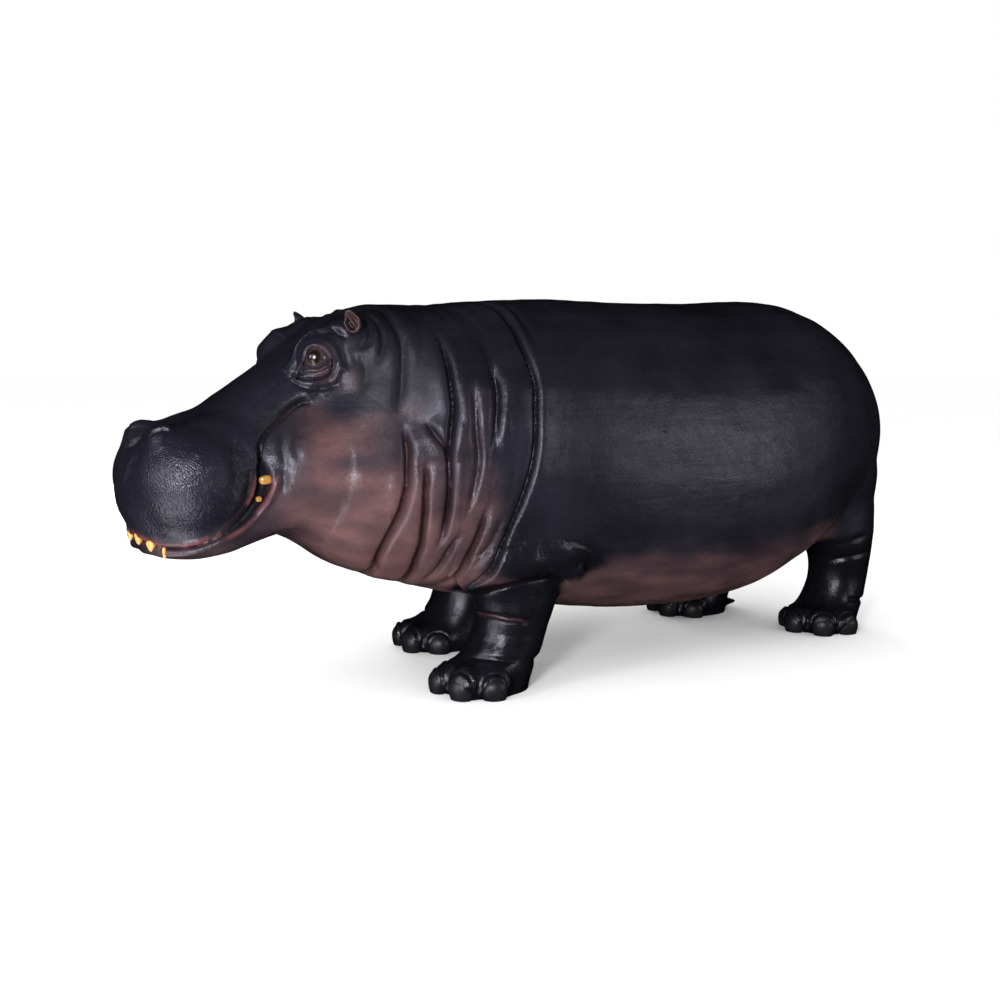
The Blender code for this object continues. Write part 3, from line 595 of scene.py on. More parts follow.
def millimetres(line):
    return [Vector(p) / 1000 for p in between(line, 5)]


def line_distance(point, line):
    nearest = 9.0
    for a, b in zip(line, line[1:]):
        ab = b - a
        t = min(1.0, max(0.0, (point - a).dot(ab) / ab.length_squared))
        nearest = min(nearest, (point - a - ab * t).length)
    return nearest


def is_inside(point, outline):
    inside = False
    for a, b in zip(outline, outline[1:] + outline[:1]):
        if (a.y > point.y) != (b.y > point.y):
            if point.x < a.x + (b.x - a.x) * (point.y - a.y) / (b.y - a.y):
                inside = not inside
    return inside


def hump(distance, width):
    return math.exp(-((distance / width) ** 2))


glass_edge = millimetres(GLASS_TOP)[:-1] + millimetres(GLASS_BOTTOM)
lid_arch, black_crease = millimetres(UPPER_LID), millimetres(BLACK_CREASE)
lid_area = lid_arch + black_crease[::-1]
folds = [millimetres(line) for line in LOWER_FOLDS]
pouch_crease, outer_ridge = millimetres(POUCH_CREASE), millimetres(OUTER_RIDGE)
lines = (glass_edge, lid_arch, black_crease, pouch_crease, outer_ridge)
for hand in (1, -1):
    flip = Vector((1, hand, 1))
    middle = EYE_CENTRE * flip
    out, back, up = EYE_OUT * flip, EYE_BACK * flip, EYE_UP * flip
    for vertex in skin.data.vertices:
        offset = vertex.co - middle
        if offset.length > LID_REACH or offset.dot(out) < -EYE_RADIUS:
            continue
        point = Vector((offset.dot(back), offset.dot(up)))
        height = offset.dot(out)
        fade = ease(0.128 - point.length, 0.0, 0.03)
        edge, arch, crease, pouch, ridge = (line_distance(point, line) for line in lines)
        wrinkles = [line_distance(point, line) for line in folds]
        within = is_inside(point, glass_edge)
        in_lids = is_inside(point, lid_area)
        glass = math.sqrt(max(0.0, EYE_RADIUS**2 - point.length_squared)) - GLASS_SET_BACK
        if within:
            target = min(height, glass - GLASS_SINK * ease(edge, 0.0, 0.003))
        else:
            seat = glass + LID_THICKNESS - 0.45 * max(0.0, edge - 0.004)
            target = max(height, seat) if edge > 0.004 else min(max(height, seat), seat + 0.004)
            if in_lids:
                for wrinkle in wrinkles:
                    target -= FOLD_DEPTH * hump(wrinkle, 0.0028)
                target -= 0.0028 * ease(arch, 0.012, 0.0)
            else:
                target += BROW_HEIGHT * hump(arch - 0.007, 0.007) - 0.0025 * hump(arch - 0.02, 0.0055)
            target -= CREASE_DEPTH * hump(crease, 0.0036)
            target += POUCH_HEIGHT * hump(pouch - 0.018, 0.012) * (not in_lids)
            target -= POUCH_DEPTH * hump(pouch, 0.009)
            target += RIDGE_HEIGHT * hump(ridge, 0.013)
            if ridge > 0.012 and point.length > 0.05:
                target -= 0.0035 * hump(ridge - 0.026, 0.01)
            target = height + (target - height) * fade
        vertex.co += out * (target - height)
        pink = 0.4 * hump(arch - 0.002, 0.0065) * ease(point.y, -0.06, -0.02)
        if in_lids and not within:
            below_fold = hump(wrinkles[1] - 0.009, 0.006)
            pink = max(pink, 0.55 * below_fold * ease(point.x, -0.045, 0.0) * (point.y < -0.035))
        # Painted shade: black along the crease, the glass's lower edge and the small folds.
        black = 0.95 * hump(crease, 0.0045)
        black = max(black, 0.8 * hump(edge, 0.0022) if point.y < 0 else 0.0)
        for wrinkle in wrinkles:
            black = max(black, 0.6 * hump(wrinkle, 0.0022))
        if fade > 0.0:
            red[vertex.index] = red[vertex.index] * (1 - fade) + pink * fade
            soot[vertex.index] = max(soot[vertex.index] * (1 - fade), black * fade)

# --- The trimmed casting --------------------------------------------------------------------------
# The mouth is a shallow slot with its inside painted black, as painted shade for the deep gap,
# since only its edge is seen. The soles are sawn flat so that the statue stands steady, and the
# mesh is thinned wherever the skin is plain.

SKIN_TRIANGLES = 190000
PLAIN_FROM_EYE = 0.072  # the mesh is kept whole nearer to the eye than this
# Where the slot's black painted shade may reach, and where it begins and is full.
SLOT_REACH = 0.11  # how far from the mouth's line the black may go
SLOT_DEPTH = (0.048, 0.058)  # from the middle of the lips in, where the black begins and is full


def mark(piece, **maps):
    """Stores a value for every vertex under each name, for the paint to read."""
    for name, values in maps.items():
        piece.data.attributes.new(name, "FLOAT", "POINT").data.foreach_set("value", values)


def cut_flat(bm, height):
    """Cuts away what lies below a height and closes the cut."""
    bmesh.ops.bisect_plane(bm, geom=bm.verts[:] + bm.edges[:] + bm.faces[:], plane_co=(0, 0, height),
                           plane_no=(0, 0, 1), clear_inner=True)
    bmesh.ops.holes_fill(bm, edges=[e for e in bm.edges if e.is_boundary], sides=0)


mouth_line = kdtree.KDTree(len(lips))
for index, lip in enumerate(lips):
    mouth_line.insert(lip[0], index)
mouth_line.balance()
# Painted shade: the slot's inside is blackened to stand for the deep gap, and its red is taken out.
for vertex in skin.data.vertices:
    _, index, distance = mouth_line.find(vertex.co)
    if distance > SLOT_REACH:
        continue
    centre, inward, half_height = lips[index]
    offset = vertex.co - centre
    inner = ease(offset.dot(inward.normalized()), *SLOT_DEPTH)
    beside = ease(half_height * 1.25 + 0.008 - abs(offset.dot(across_lips[index])), 0.0, 0.004)
    soot[vertex.index] = max(soot[vertex.index], inner * beside)
    red[vertex.index] *= 1 - inner * beside

mark(skin, red=red, soot=soot)

bm = bmesh.new()
bm.from_mesh(skin.data)
cut_flat(bm, 0)
bm.to_mesh(skin.data)
bm.free()
plain = skin.vertex_groups.new(name="plain")
for vertex in skin.data.vertices:
    mirrored = Vector((vertex.co.x, -abs(vertex.co.y), vertex.co.z))
    plain.add([vertex.index], float((mirrored - EYE_CENTRE).length > PLAIN_FROM_EYE), "REPLACE")
thin = skin.modifiers.new("thin", "DECIMATE")
thin.ratio = SKIN_TRIANGLES / (2 * len(skin.data.polygons))
thin.vertex_group = "plain"
thin.vertex_group_factor = 1.0
settle(skin)
skin.data.shade_smooth()
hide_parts("head", "jaw", "neck", "trunk", *(f"leg_{leg}" for leg in LEGS))
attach(skin, "root")

# --- The paint -----------------------------------------------------------------------------------
# Slate black is sprayed over the whole casting, and mauve and flesh are airbrushed over cheeks,
# neck and belly. Painted shade goes over that: dark patches along the folds of cheek and neck,
# black in the creases, and a darker tone in the pebbles' valleys, with a painted highlight on their
# tops. Red is run into the creases. A satin lacquer goes over everything.

# The paints. A pair is mixed in soft clouds.
SLATE = (0.0044, 0.0041, 0.0074), (0.0092, 0.0086, 0.015)
# Painted highlight: the slate is lighter on the pebbles' tops.
SLATE_PEBBLE_HIGHLIGHT = (0.012, 0.0112, 0.019)
LEG_BLACK = (0.0034, 0.0032, 0.0052)
FLESH = (0.06, 0.031, 0.033), (0.128, 0.06, 0.058)
# Painted shade: the flesh is darker in the pebbles' valleys.
FLESH_VALLEY_SHADE = (0.04, 0.022, 0.028)
FOLD_SHADE_BLACK = (0.019, 0.016, 0.023)
CREASE_RED = (0.088, 0.024, 0.024)
# Painted shade: black laid into the creases, the nostrils and the mouth's slot.
SHADE_BLACK = (0.004, 0.004, 0.006)
# Pebbles to a metre along x, y and z; those on the muzzle also lean.
BODY_PEBBLES, MUZZLE_PEBBLES, MUZZLE_LEAN = (215, 265, 300), (94, 142, 195), -52
# Soft patches of flesh paint, given for both sides: middle, radii and strength.
FLUSH = [
    ((-1.09, 0.3, 0.845), (0.085, 0.16, 0.075), 0.75), ((-1.0, 0.32, 0.9), (0.11, 0.16, 0.055), 0.75),
    ((-0.91, 0.33, 0.955), (0.07, 0.16, 0.05), 0.4), ((-0.98, 0.33, 0.755), (0.18, 0.2, 0.065), 0.85),
    ((-1.1, 0.3, 0.68), (0.18, 0.2, 0.09), 0.75), ((-0.92, 0.3, 0.63), (0.15, 0.25, 0.12), 0.85),
    ((-0.9, 0.22, 0.52), (0.18, 0.2, 0.13), 0.8), ((-1.33, 0.12, 0.535), (0.26, 0.25, 0.045), 0.45),
    ((-1.5, 0.22, 0.572), (0.16, 0.12, 0.03), 0.35),
    ((-0.72, 0.36, 0.59), (0.15, 0.22, 0.15), 0.55), ((-0.76, 0.38, 0.79), (0.08, 0.2, 0.13), 0.3),
    ((-0.79, 0.37, 1.0), (0.04, 0.1, 0.05), 0.28), ((-0.6, 0.42, 0.68), (0.08, 0.2, 0.16), 0.36),
    ((-0.63, 0.22, 0.42), (0.15, 0.25, 0.11), 0.7), ((-0.6, 0.42, 0.95), (0.05, 0.2, 0.12), 0.22),
    ((-1.035, 0.24, 1.115), (0.055, 0.08, 0.04), 0.45), ((-0.945, 0.25, 1.095), (0.03, 0.08, 0.035), 0.32),
    ((-1.03, 0.24, 1.2), (0.05, 0.08, 0.02), 0.25),
    ((-1.09, 0.25, 0.99), (0.05, 0.08, 0.04), 0.4), ((1.02, 0.4, 0.43), (0.1, 0.15, 0.08), 0.35),
]
# Painted shade: black dabbed over the flesh along the folds of cheek and neck.
FOLD_SHADE = [
    ((-1.17, 0.28, 0.88), (0.05, 0.1, 0.11), 0.6), ((-0.98, 0.33, 0.835), (0.085, 0.1, 0.026), 0.65),
    ((-1.12, 0.31, 0.745), (0.06, 0.1, 0.028), 0.55), ((-1.03, 0.32, 0.71), (0.07, 0.1, 0.022), 0.45),
    ((-0.83, 0.37, 0.8), (0.03, 0.1, 0.14), 0.35), ((-0.75, 0.3, 0.5), (0.04, 0.1, 0.05), 0.35),
    ((-0.66, 0.38, 0.52), (0.035, 0.1, 0.05), 0.4), ((-0.86, 0.36, 0.9), (0.06, 0.1, 0.04), 0.4),
    ((-0.94, 0.33, 0.62), (0.08, 0.1, 0.03), 0.3),
]
# Where the lacquer is rubbed dull, on the upper neck and behind the eye.
DULL = [((-0.79, 0.42, 1.09), (0.1, 0.3, 0.13), 1.0), ((-0.9, 0.34, 1.12), (0.08, 0.3, 0.09), 0.9)]


def dabs(place, patches):
    total = 0.0
    for centre, radii, amount in patches:
        x = (place.x - centre[0]) / radii[0]
        y = (abs(place.y) - centre[1]) / radii[1]
        z = (place.z - centre[2]) / radii[2]
        square = x * x + y * y + z * z
        if square < 6.0:
            total += amount * math.exp(-square)
    return total


flush, smoke, coarse, limb, dull = [], [], [], [], []
for vertex in skin.data.vertices:
    place = vertex.co
    leg_paint = 0.0
    for _, x, y, side, _ in LEGS.values():
        apart = math.hypot(place.x - x - 0.07, place.y - side * (y + 0.01))
        reach = 0.21 + 0.1 * ease(0.22 - place.z, 0.0, 0.06)
        leg_paint = max(leg_paint, ease(reach - apart, 0.0, 0.03) * ease(0.43 - place.z, 0.0, 0.05))
        if x < 0:
            forearm = (place.x - x - 0.15) / 0.235, (side * place.y - 0.44) / 0.16, (place.z - 0.47) / 0.085
            leg_paint = max(leg_paint, 0.9 * ease(1.25 - Vector(forearm).length, 0.0, 0.5))
    underside = ease(-vertex.normal.z, 0.1, 0.85) * ease(0.62 - place.z, 0.0, 0.25)
    on_trunk = ease(place.x, -0.6, -0.35) * ease(1.3 - place.x, 0.0, 0.3)
    chest = ease(-0.44 - place.x, 0.0, 0.1) * ease(place.x, -1.25, -1.0) * ease(0.6 - place.z, 0.0, 0.25)
    amount = dabs(place, FLUSH) + 0.8 * underside * on_trunk + 0.35 * chest
    flush.append(min(1.0, amount) * (1 - leg_paint))
    smoke.append(min(1.0, dabs(place, FOLD_SHADE)))
    coarse.append(ease(-1.22 - place.x, 0.0, 0.12) * ease(0.97 - place.z, 0.0, 0.08) * above_mouth(place))
    limb.append(leg_paint)
    dull.append(min(1.0, dabs(place, DULL)))
mark(skin, flush=flush, smoke=smoke, coarse=coarse, limb=limb, dull=dull)


class Paint:
    """A material, with short calls that add a node, set its sockets and link what is given."""

    def __init__(self, name):
        self.material = bpy.data.materials.new(name)
        self.material.use_nodes = True
        self.tree = self.material.node_tree
        self.shader = self.tree.nodes["Principled BSDF"]

    def node(self, kind, output=0, settings=(), **sockets):
        made = self.tree.nodes.new("ShaderNode" + kind)
        for key, value in dict(settings).items():
            setattr(made, key, value)
        for key, value in sockets.items():
            name = key.replace("_", " ")
            target = made.inputs[int(key[1:])] if key[0] == "i" and key[1:].isdigit() else made.inputs[name]
            self.feed(target, value)
        return made.outputs[output]

    def feed(self, target, value):
        if isinstance(value, bpy.types.NodeSocket):
            self.tree.links.new(value, target)
        else:
            target.default_value = value

    def math(self, operation, a, b, clamp=False):
        return self.node("Math", settings={"operation": operation, "use_clamp": clamp}, i0=a, i1=b)

    def remap(self, value, low, high, to_low=0.0, to_high=1.0):
        return self.node("MapRange", Value=value, From_Min=low, From_Max=high, To_Min=to_low, To_Max=to_high)

    def mix(self, amount, a, b):
        made = self.tree.nodes.new("ShaderNodeMix")
        made.data_type = "RGBA"
        for index, value in ((0, amount), (6, a), (7, b)):
            if index and not isinstance(value, bpy.types.NodeSocket):
                value = (*value, 1.0)
            self.feed(made.inputs[index], value)
        return made.outputs[2]

    def attribute(self, name):
        return self.node("Attribute", output="Fac", settings={"attribute_name": name})

    def bump(self, height, distance, strength, normal=None):
        made = self.tree.nodes.new("ShaderNodeBump")
        made.inputs["Distance"].default_value = distance
        self.feed(made.inputs["Strength"], strength)
        self.feed(made.inputs["Height"], height)
        if normal is not None:
            self.feed(made.inputs["Normal"], normal)
        return made.outputs[0]

    def where(self):
        return self.node("TexCoord", output="Object")

    def stretch(self, vector, *scale):
        return self.node("Mapping", Vector=vector, Scale=scale)

    def noise(self, vector, scale, detail=3.0, rough=0.55):
        return self.node("TexNoise", Vector=vector, Scale=scale, Detail=detail, Roughness=rough)

    def finish(self, **sockets):
        for key, value in sockets.items():
            self.feed(self.shader.inputs[key.replace("_", " ")], value)
        return self.material


def hide_paint(name, on_skin=True):
    """The skin's paint; on the tail it has no airbrushed patches of its own."""
    p = Paint(name)
    spot = p.where()
    drift = p.node("VectorMath", settings={"operation": "MULTIPLY_ADD"}, i0=p.noise(spot, 14.0, 2.0),
                   i1=(0.05, 0.05, 0.05), i2=spot)
    slant = p.node("Mapping", Vector=drift, Rotation=(0, math.radians(MUZZLE_LEAN), 0))
    pebbles = []
    for where in (p.stretch(drift, *BODY_PEBBLES), p.stretch(slant, *MUZZLE_PEBBLES)):
        apart = p.node("TexVoronoi", Vector=where, Scale=1.0)
        pebbles.append(p.math("SUBTRACT", 1.0, p.math("POWER", apart, 2.0), clamp=True))
    coarse_at = p.attribute("coarse") if on_skin else 0.0
    grain = p.node("Mix", settings={"data_type": "FLOAT"}, i0=coarse_at, i2=pebbles[0], i3=pebbles[1])
    streak = p.noise(p.stretch(spot, 6, 20, 42), 1.0, 2.0, 0.5)
    lumpy = p.noise(spot, 75.0, 2.0, 0.5)
    broad = p.noise(spot, 4.2, 3.0, 0.5)
    colour = p.mix(p.remap(broad, 0.35, 0.68), *SLATE)
    # Painted highlight on the pebbles' tops.
    colour = p.mix(p.math("MULTIPLY", p.remap(grain, 0.5, 1.0), 0.35), colour, SLATE_PEBBLE_HIGHLIGHT)
    rough = p.remap(p.noise(spot, 31.0, 3.0), 0.3, 0.7, 0.33, 0.4)
    depth = 0.3
    if on_skin:
        limb, soot = p.attribute("limb"), p.attribute("soot")
        mottle = p.noise(p.stretch(spot, 5, 9, 13), 1.0, 4.0, 0.55)
        colour = p.mix(limb, colour, LEG_BLACK)
        flesh = p.mix(p.remap(mottle, 0.3, 0.7), *FLESH)
        # Painted shade in the pebbles' valleys.
        flesh = p.mix(p.remap(grain, 0.45, 0.8, 0.45, 0.0), flesh, FLESH_VALLEY_SHADE)
        patch = p.math("ADD", p.attribute("flush"), p.remap(mottle, 0.25, 0.75, -0.09, 0.09))
        colour = p.mix(p.remap(patch, 0.06, 1.05), colour, flesh)
        clouds = p.remap(mottle, 0.3, 0.7, 0.75, 1.25)
        # Painted shade along the folds of cheek and neck, broken into soft clouds.
        colour = p.mix(p.math("MULTIPLY", p.attribute("smoke"), clouds, clamp=True), colour, FOLD_SHADE_BLACK)
        lined = p.math("MULTIPLY", p.math("POWER", p.attribute("red"), 1.9), 1.1, clamp=True)
        colour = p.mix(lined, colour, CREASE_RED)
        # Black painted shade in the creases, the slits and the mouth's slot.
        colour = p.mix(p.math("MULTIPLY", soot, 0.9), colour, SHADE_BLACK)
        for where, duller in ((soot, 0.08), (limb, -0.07), (p.attribute("dull"), 0.26)):
            rough = p.math("ADD", rough, p.math("MULTIPLY", where, duller))
        depth = p.remap(coarse_at, 0.0, 1.0, 0.3, 1.0)
    normal = p.bump(streak, 0.003, 0.4)
    normal = p.bump(lumpy, 0.0012, 0.5, normal)
    normal = p.bump(grain, 0.0016, depth, normal)
    return p.finish(Base_Color=colour, Roughness=rough, Normal=normal, Specular_IOR_Level=0.5,
                    Specular_Tint=(0.88, 0.86, 1.0, 1.0))


skin.data.materials.clear()
skin.data.materials.append(hide_paint("painted_hide"))

# --- Eyes ----------------------------------------------------------------------------------------
# Each eye is a glass ball set behind the lids: a black pupil, an amber iris with a dark rim, and
# a greyish pink white, all under clear polished glass.

EYE_GAZE = (EYE_OUT - EYE_BACK * 0.24 + EYE_UP * 0.09).normalized()
IRIS_ANGLE = 0.5  # from the gaze to the edge of the iris, in radians
CORNEA = 0.06  # how much it stands out, as a share of the radius
p = Paint("eye_glass")
from_gaze = p.attribute("from_gaze")
spot = p.where()
iris = p.mix(p.remap(p.noise(spot, 260.0, 3.0), 0.3, 0.7), (0.005, 0.0018, 0.0008), (0.022, 0.0085, 0.003))
iris = p.mix(p.remap(from_gaze, 0.8, 1.0), iris, (0.006, 0.003, 0.002))
colour = p.mix(p.remap(from_gaze, 0.62, 0.72), (0.001, 0.001, 0.001), iris)
veins = p.remap(p.noise(spot, 90.0, 4.0), 0.35, 0.7)
white = p.mix(veins, (0.016, 0.013, 0.016), (0.038, 0.027, 0.03))
colour = p.mix(p.remap(from_gaze, 1.0, 1.1), colour, white)
glass = p.finish(Base_Color=colour, Roughness=0.3, Coat_Weight=0.35, Coat_Roughness=0.02)
for side_name, hand in (("left", 1), ("right", -1)):
    flip = Vector((1, hand, 1))
    bm = bmesh.new()
    bmesh.ops.create_uvsphere(bm, u_segments=64, v_segments=40, radius=EYE_RADIUS)
    from_gaze = []
    for vertex in bm.verts:
        angle = vertex.co.angle(Vector((0, 0, 1))) / IRIS_ANGLE
        from_gaze.append(angle)
        vertex.co *= 1.0 + CORNEA * ease(1.05 - angle, 0.0, 0.6)
    turn = (EYE_GAZE * flip).to_track_quat("Z", "Y").to_matrix().to_4x4()
    set_back = (EYE_CENTRE - EYE_OUT * GLASS_SET_BACK) * flip
    bmesh.ops.transform(bm, matrix=Matrix.Translation(set_back) @ turn, verts=bm.verts)
    eye = new_piece(f"glass_eye_{side_name}", bm, glass)
    mark(eye, from_gaze=from_gaze)
    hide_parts(f"eye_{side_name}")
    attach(eye, "root")

# --- Ears ----------------------------------------------------------------------------------------
# Each ear is a small pointed cup of resin, cast with the head. Its hollow and rim are painted
# pink, and the slit at its bottom black, as painted shade in the ear's opening.

EAR_CENTRE = Vector((-0.931, -0.223, 1.276))
EAR_FACING = Vector((-0.66, -0.74, 0.14)).normalized()
EAR_LEAN = Vector((-0.38, 0.02, 0.92))
HALF_THICK, HALF_WIDE, HALF_TALL = 0.024, 0.029, 0.037
p = Paint("ear_paint")
inner = p.attribute("inner")
mottle = p.noise(p.where(), 70.0, 4.0)
outer = p.mix(p.remap(mottle, 0.3, 0.7), (0.007, 0.007, 0.01), (0.016, 0.015, 0.022))
pink = p.mix(p.remap(mottle, 0.3, 0.7), (0.02, 0.01, 0.012), (0.056, 0.026, 0.028))
colour = p.mix(p.remap(inner, 0.1, 0.4), outer, pink)
# Painted shade: the slit in the ear's opening is near black.
colour = p.mix(p.remap(inner, 0.78, 0.92), colour, (0.006, 0.004, 0.005))
ear_paint = p.finish(Base_Color=colour, Roughness=0.36, Normal=p.bump(mottle, 0.001, 0.8),
                     Specular_IOR_Level=0.3)
up = (EAR_LEAN - EAR_FACING * EAR_LEAN.dot(EAR_FACING)).normalized()
turn = Matrix((-EAR_FACING, up.cross(-EAR_FACING), up)).transposed()
for side_name, hand in (("left", 1), ("right", -1)):
    bm = bmesh.new()
    bmesh.ops.create_uvsphere(bm, u_segments=56, v_segments=40, radius=1.0)
    inner = []
    for vertex in bm.verts:
        s = vertex.co.copy()
        rim = math.hypot(s.y, s.z)  # 0 in the hollow's middle and 1 at the ear's edge
        front = s.x < 0
        cup = ease(0.88 - rim, 0.0, 0.45) if front else 0.0
        tip = ease(s.z, 0.2, 1.0)
        flap_edge = s.y - 0.05 - 0.4 * s.z
        slit = ease(flap_edge, -0.04, 0.06)
        flap = hump(flap_edge + 0.1, 0.16) * ease(0.8 - rim, 0.0, 0.25) * front
        lit = 0.42 * front * ease(rim, 0.5, 0.75) * ease(0.99 - rim, 0.0, 0.12)
        inner.append(max(lit, ease(cup, 0.15, 0.5) * (0.48 + 0.5 * slit)))
        vertex.co = turn @ Vector((
            s.x * HALF_THICK * (1 - 0.55 * tip) + 0.024 * cup - 0.012 * flap - 0.02 * tip * tip,
            s.y * HALF_WIDE * (1 - 0.22 * tip) * (1 + 0.05 * math.sin(9 * s.z)),
            s.z * (HALF_TALL + 0.005 * tip),
        ))
        vertex.co = (vertex.co + EAR_CENTRE) * Vector((1, hand, 1))
    if hand < 0:
        bmesh.ops.reverse_faces(bm, faces=bm.faces)
    ear = new_piece(f"ear_cup_{side_name}", bm, ear_paint)
    mark(ear, inner=inner)
    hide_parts(f"ear_{side_name}")
    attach(ear, "root")

# --- Teeth ---------------------------------------------------------------------------------------
# Worn pegs of cast resin, set into the lips and the mouth's corner, painted ochre and wiped with
# brown so that it stays in the cracks. The ones at the back are darker.

# Middle, radii and turn of each, and how much it narrows towards its lower end.
TEETH = {
    "incisor_inner": ((-1.603, 0.046, 0.599), (0.011, 0.017, 0.021), (0, -12, -10), 0.4),
    "incisor_outer": ((-1.583, 0.118, 0.585), (0.013, 0.018, 0.019), (0, -12, -30), 0.6),
    "canine": ((-1.557, 0.167, 0.567), (0.009, 0.0055, 0.019), (0, -12, -42), 0.0),
    "tusk": ((-1.254, 0.257, 0.786), (0.023, 0.013, 0.0145), (0, -6, 12), 0.0),
    "cheek_tooth": ((-1.278, 0.252, 0.726), (0.01, 0.009, 0.009), (0, -6, 12), 0.0),
}
p = Paint("tooth_ochre")
spot = p.where()
ochre = p.mix(p.remap(p.noise(spot, 70.0, 4.0), 0.3, 0.7), (0.36, 0.155, 0.035), (0.66, 0.35, 0.105))
stain = p.noise(p.stretch(spot, 60, 60, 170), 1.0, 3.0)
colour = p.mix(p.remap(stain, 0.58, 0.72, 0.0, 0.75), ochre, (0.11, 0.035, 0.01))
towards_back = p.remap(p.node("SeparateXYZ", Vector=spot), -1.4, -1.3, 0.0, 0.8)
colour = p.mix(towards_back, colour, (0.23, 0.1, 0.02))
tooth_ochre = p.finish(Base_Color=colour, Roughness=0.22, Normal=p.bump(stain, 0.001, 0.6), Coat_Weight=0.4)
for kind, (centre, radii, turn, taper) in TEETH.items():
    for side_name, side in (("left", -1), ("right", 1)):
        bm = bmesh.new()
        lump(bm, (0, 0, 0), (1, 1, 1), (0, 0, 0), 32)
        for vertex in bm.verts:
            x, y, z = (math.copysign(abs(v) ** 0.75, v) for v in vertex.co)
            vertex.co = Vector((x, y * (1 - taper * ease(-z, -0.6, 1.0)), z))
        angles = Euler([math.radians(a) for a in (side * turn[0], turn[1], side * turn[2])])
        place = Matrix.LocRotScale(Vector((centre[0], side * centre[1], centre[2])), angles, Vector(radii))
        bmesh.ops.transform(bm, matrix=place, verts=bm.verts)
        tooth = new_piece(f"tooth_{kind}_{side_name}", bm, tooth_ochre)
        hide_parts(f"{kind}_{side_name}")
        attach(tooth, "root")

# --- Toenails ------------------------------------------------------------------------------------
# A thick domed nail ends each toe, cast in place and painted dark slate with a duller, finely
# streaked finish.

NAIL_RADII = (0.034, 0.046, 0.041)
NAIL_REACH, NAIL_DROP = 0.78, 0.006  # ahead of the toe's middle, as a share of its radius, and below
NAIL_WAIST = 0.2  # how much a nail draws in from its widest place down to the floor
p = Paint("nail_slate")
spot = p.where()
streak = p.noise(p.stretch(spot, 60, 60, 14), 1.0, 4.0)
cloud = p.noise(spot, 26.0, 3.0)
colour = p.mix(p.remap(cloud, 0.3, 0.7), (0.004, 0.0038, 0.0056), (0.009, 0.0085, 0.012))
colour = p.mix(p.remap(streak, 0.55, 0.8, 0.0, 0.4), colour, (0.016, 0.015, 0.02))
nail_slate = p.finish(Base_Color=colour, Roughness=0.42, Normal=p.bump(streak, 0.0012, 0.7),
                      Specular_IOR_Level=0.35)
for leg, number, middle, ahead, radius in toes():
    yaw = math.degrees(math.atan2(ahead.y, ahead.x))
    bm = bmesh.new()
    place = middle + ahead * radius * NAIL_REACH + Vector((0, 0, -NAIL_DROP))
    lump(bm, (0, 0, 0), NAIL_RADII, (0, 0, yaw), 40)
    for vertex in bm.verts:
        depth = min(0.98, -vertex.co.z / NAIL_RADII[2])
        if depth > 0.0:
            widen = (1 - NAIL_WAIST * depth * depth) / math.sqrt(1 - depth * depth)
            vertex.co.x *= widen
            vertex.co.y *= widen
    bmesh.ops.translate(bm, verts=bm.verts, vec=place)
    cut_flat(bm, 0.0005)
    nail = new_piece(f"toenail_{leg}_{number + 1}", bm, nail_slate)
    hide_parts(f"nail_{leg}_{number + 1}")
    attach(nail, "root")

# --- Tail ----------------------------------------------------------------------------------------
# A short flat tail that hangs against the rump. It is cast with the body, wrinkled across, and
# painted like it.

# Sections from root to tip: x, z, half width and half thickness.
TAIL = [
    (1.486, 0.975, 0.048, 0.045), (1.556, 0.965, 0.05, 0.045), (1.596, 0.915, 0.048, 0.038),
    (1.609, 0.845, 0.042, 0.03), (1.603, 0.765, 0.037, 0.024), (1.582, 0.69, 0.03, 0.018),
    (1.566, 0.64, 0.015, 0.01),
]
bm = bmesh.new()
rings = []
rows = between(TAIL, 10)
for i, (x, z, half_width, half_thickness) in enumerate(rows):
    before, after = rows[max(i - 1, 0)], rows[min(i + 1, len(rows) - 1)]
    along = Vector((after[0] - before[0], 0, after[1] - before[1])).normalized()
    wrinkle = 1 + 0.035 * math.sin(i * 1.9) + 0.02 * math.sin(i * 3.1)
    outward = Vector((-along.z, 0, along.x)) * half_thickness * wrinkle
    side = Vector((0, half_width * wrinkle, 0))
    rings.append(ring(bm, Vector((x, 0, z)), side, outward, -outward, 2.2, 32))
bridge(bm, rings)
bmesh.ops.recalc_face_normals(bm, faces=bm.faces)
tail = new_piece("tail_flap", bm, hide_paint("tail_paint", on_skin=False))
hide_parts("tail")
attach(tail, "root")

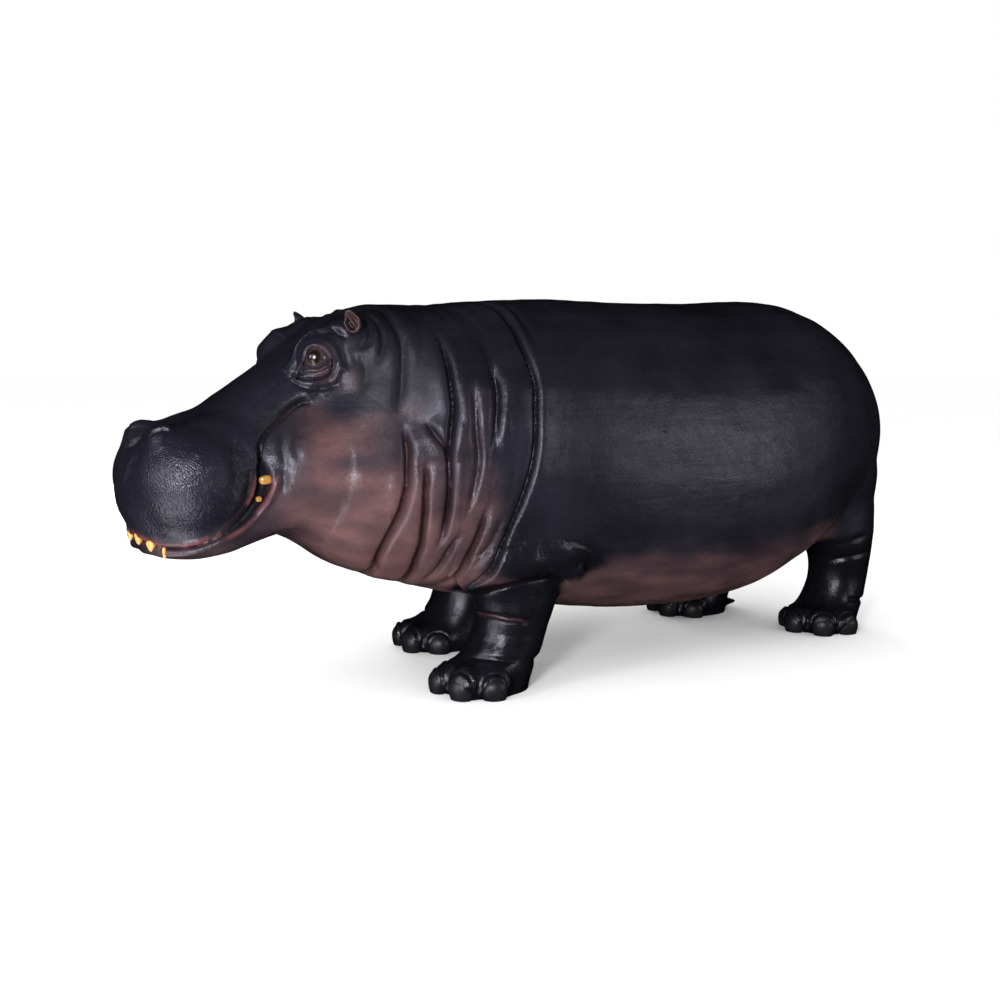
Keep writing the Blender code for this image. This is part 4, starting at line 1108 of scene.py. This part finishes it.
# --- The studio ----------------------------------------------------------------------------------
# The statue stands on a pale floor in a pale surround. Two soft lights stand at its front left, a
# low one under the head, a fill at its rear left, and a wide one to its right.

bm = bmesh.new()
bmesh.ops.create_circle(bm, segments=96, radius=30.0, cap_ends=True)
floor = new_piece("floor", bm)
p = Paint("pale_floor")
floor_tone = p.mix(p.noise(p.where(), 1.5), (0.98, 0.98, 0.98), (1.0, 1.0, 1.0))
floor.data.materials.append(p.finish(Base_Color=floor_tone, Roughness=0.9, Specular_IOR_Level=0.0))


def soft_light(name, place, aim, width, height, power, glossy=True):
    data = bpy.data.lights.new(name, "AREA")
    data.shape, data.size, data.size_y, data.energy = "RECTANGLE", width, height, power
    light = bpy.data.objects.new(name, data)
    bpy.context.scene.collection.objects.link(light)
    light.visible_camera = False
    light.visible_glossy = glossy
    light.location = place
    light.rotation_euler = (Vector(aim) - Vector(place)).to_track_quat("-Z", "Y").to_euler()


soft_light("key", (-4.5, -4.2, 1.8), (-1.0, 0, 0.8), 1.0, 1.4, 300)
soft_light("side", (-5.6, -0.9, 2.1), (-1.2, 0, 0.8), 1.2, 1.6, 80)
soft_light("below_head", (-2.1, -0.55, 0.04), (-1.5, -0.25, 0.7), 1.0, 0.9, 12)
soft_light("fill", (3.6, -5.0, 1.6), (0.4, 0, 0.7), 1.6, 1.8, 52)
soft_light("rear", (1.5, 6.0, 1.0), (0.2, 0, 0.7), 3.0, 1.4, 220, glossy=False)

world = bpy.data.worlds.new("studio")
bpy.context.scene.world = world
world.use_nodes = True
world.node_tree.nodes["Background"].inputs["Color"].default_value = (1.0, 1.0, 1.0, 1)
world.node_tree.nodes["Background"].inputs["Strength"].default_value = 1.0
world.cycles_visibility.glossy = False
floor.visible_glossy = False
bpy.context.scene.view_settings.view_transform = "Standard"

camera_data = bpy.data.cameras.new("camera")
camera_data.sensor_width = 36.0
camera_data.lens = 44.28
camera = bpy.data.objects.new("camera", camera_data)
bpy.context.scene.collection.objects.link(camera)
camera.location = (-2.636, -3.922, 1.2535)
camera.rotation_euler = (math.radians(90 - 7.87), 0.0, math.radians(-31.5))
bpy.context.scene.camera = camera
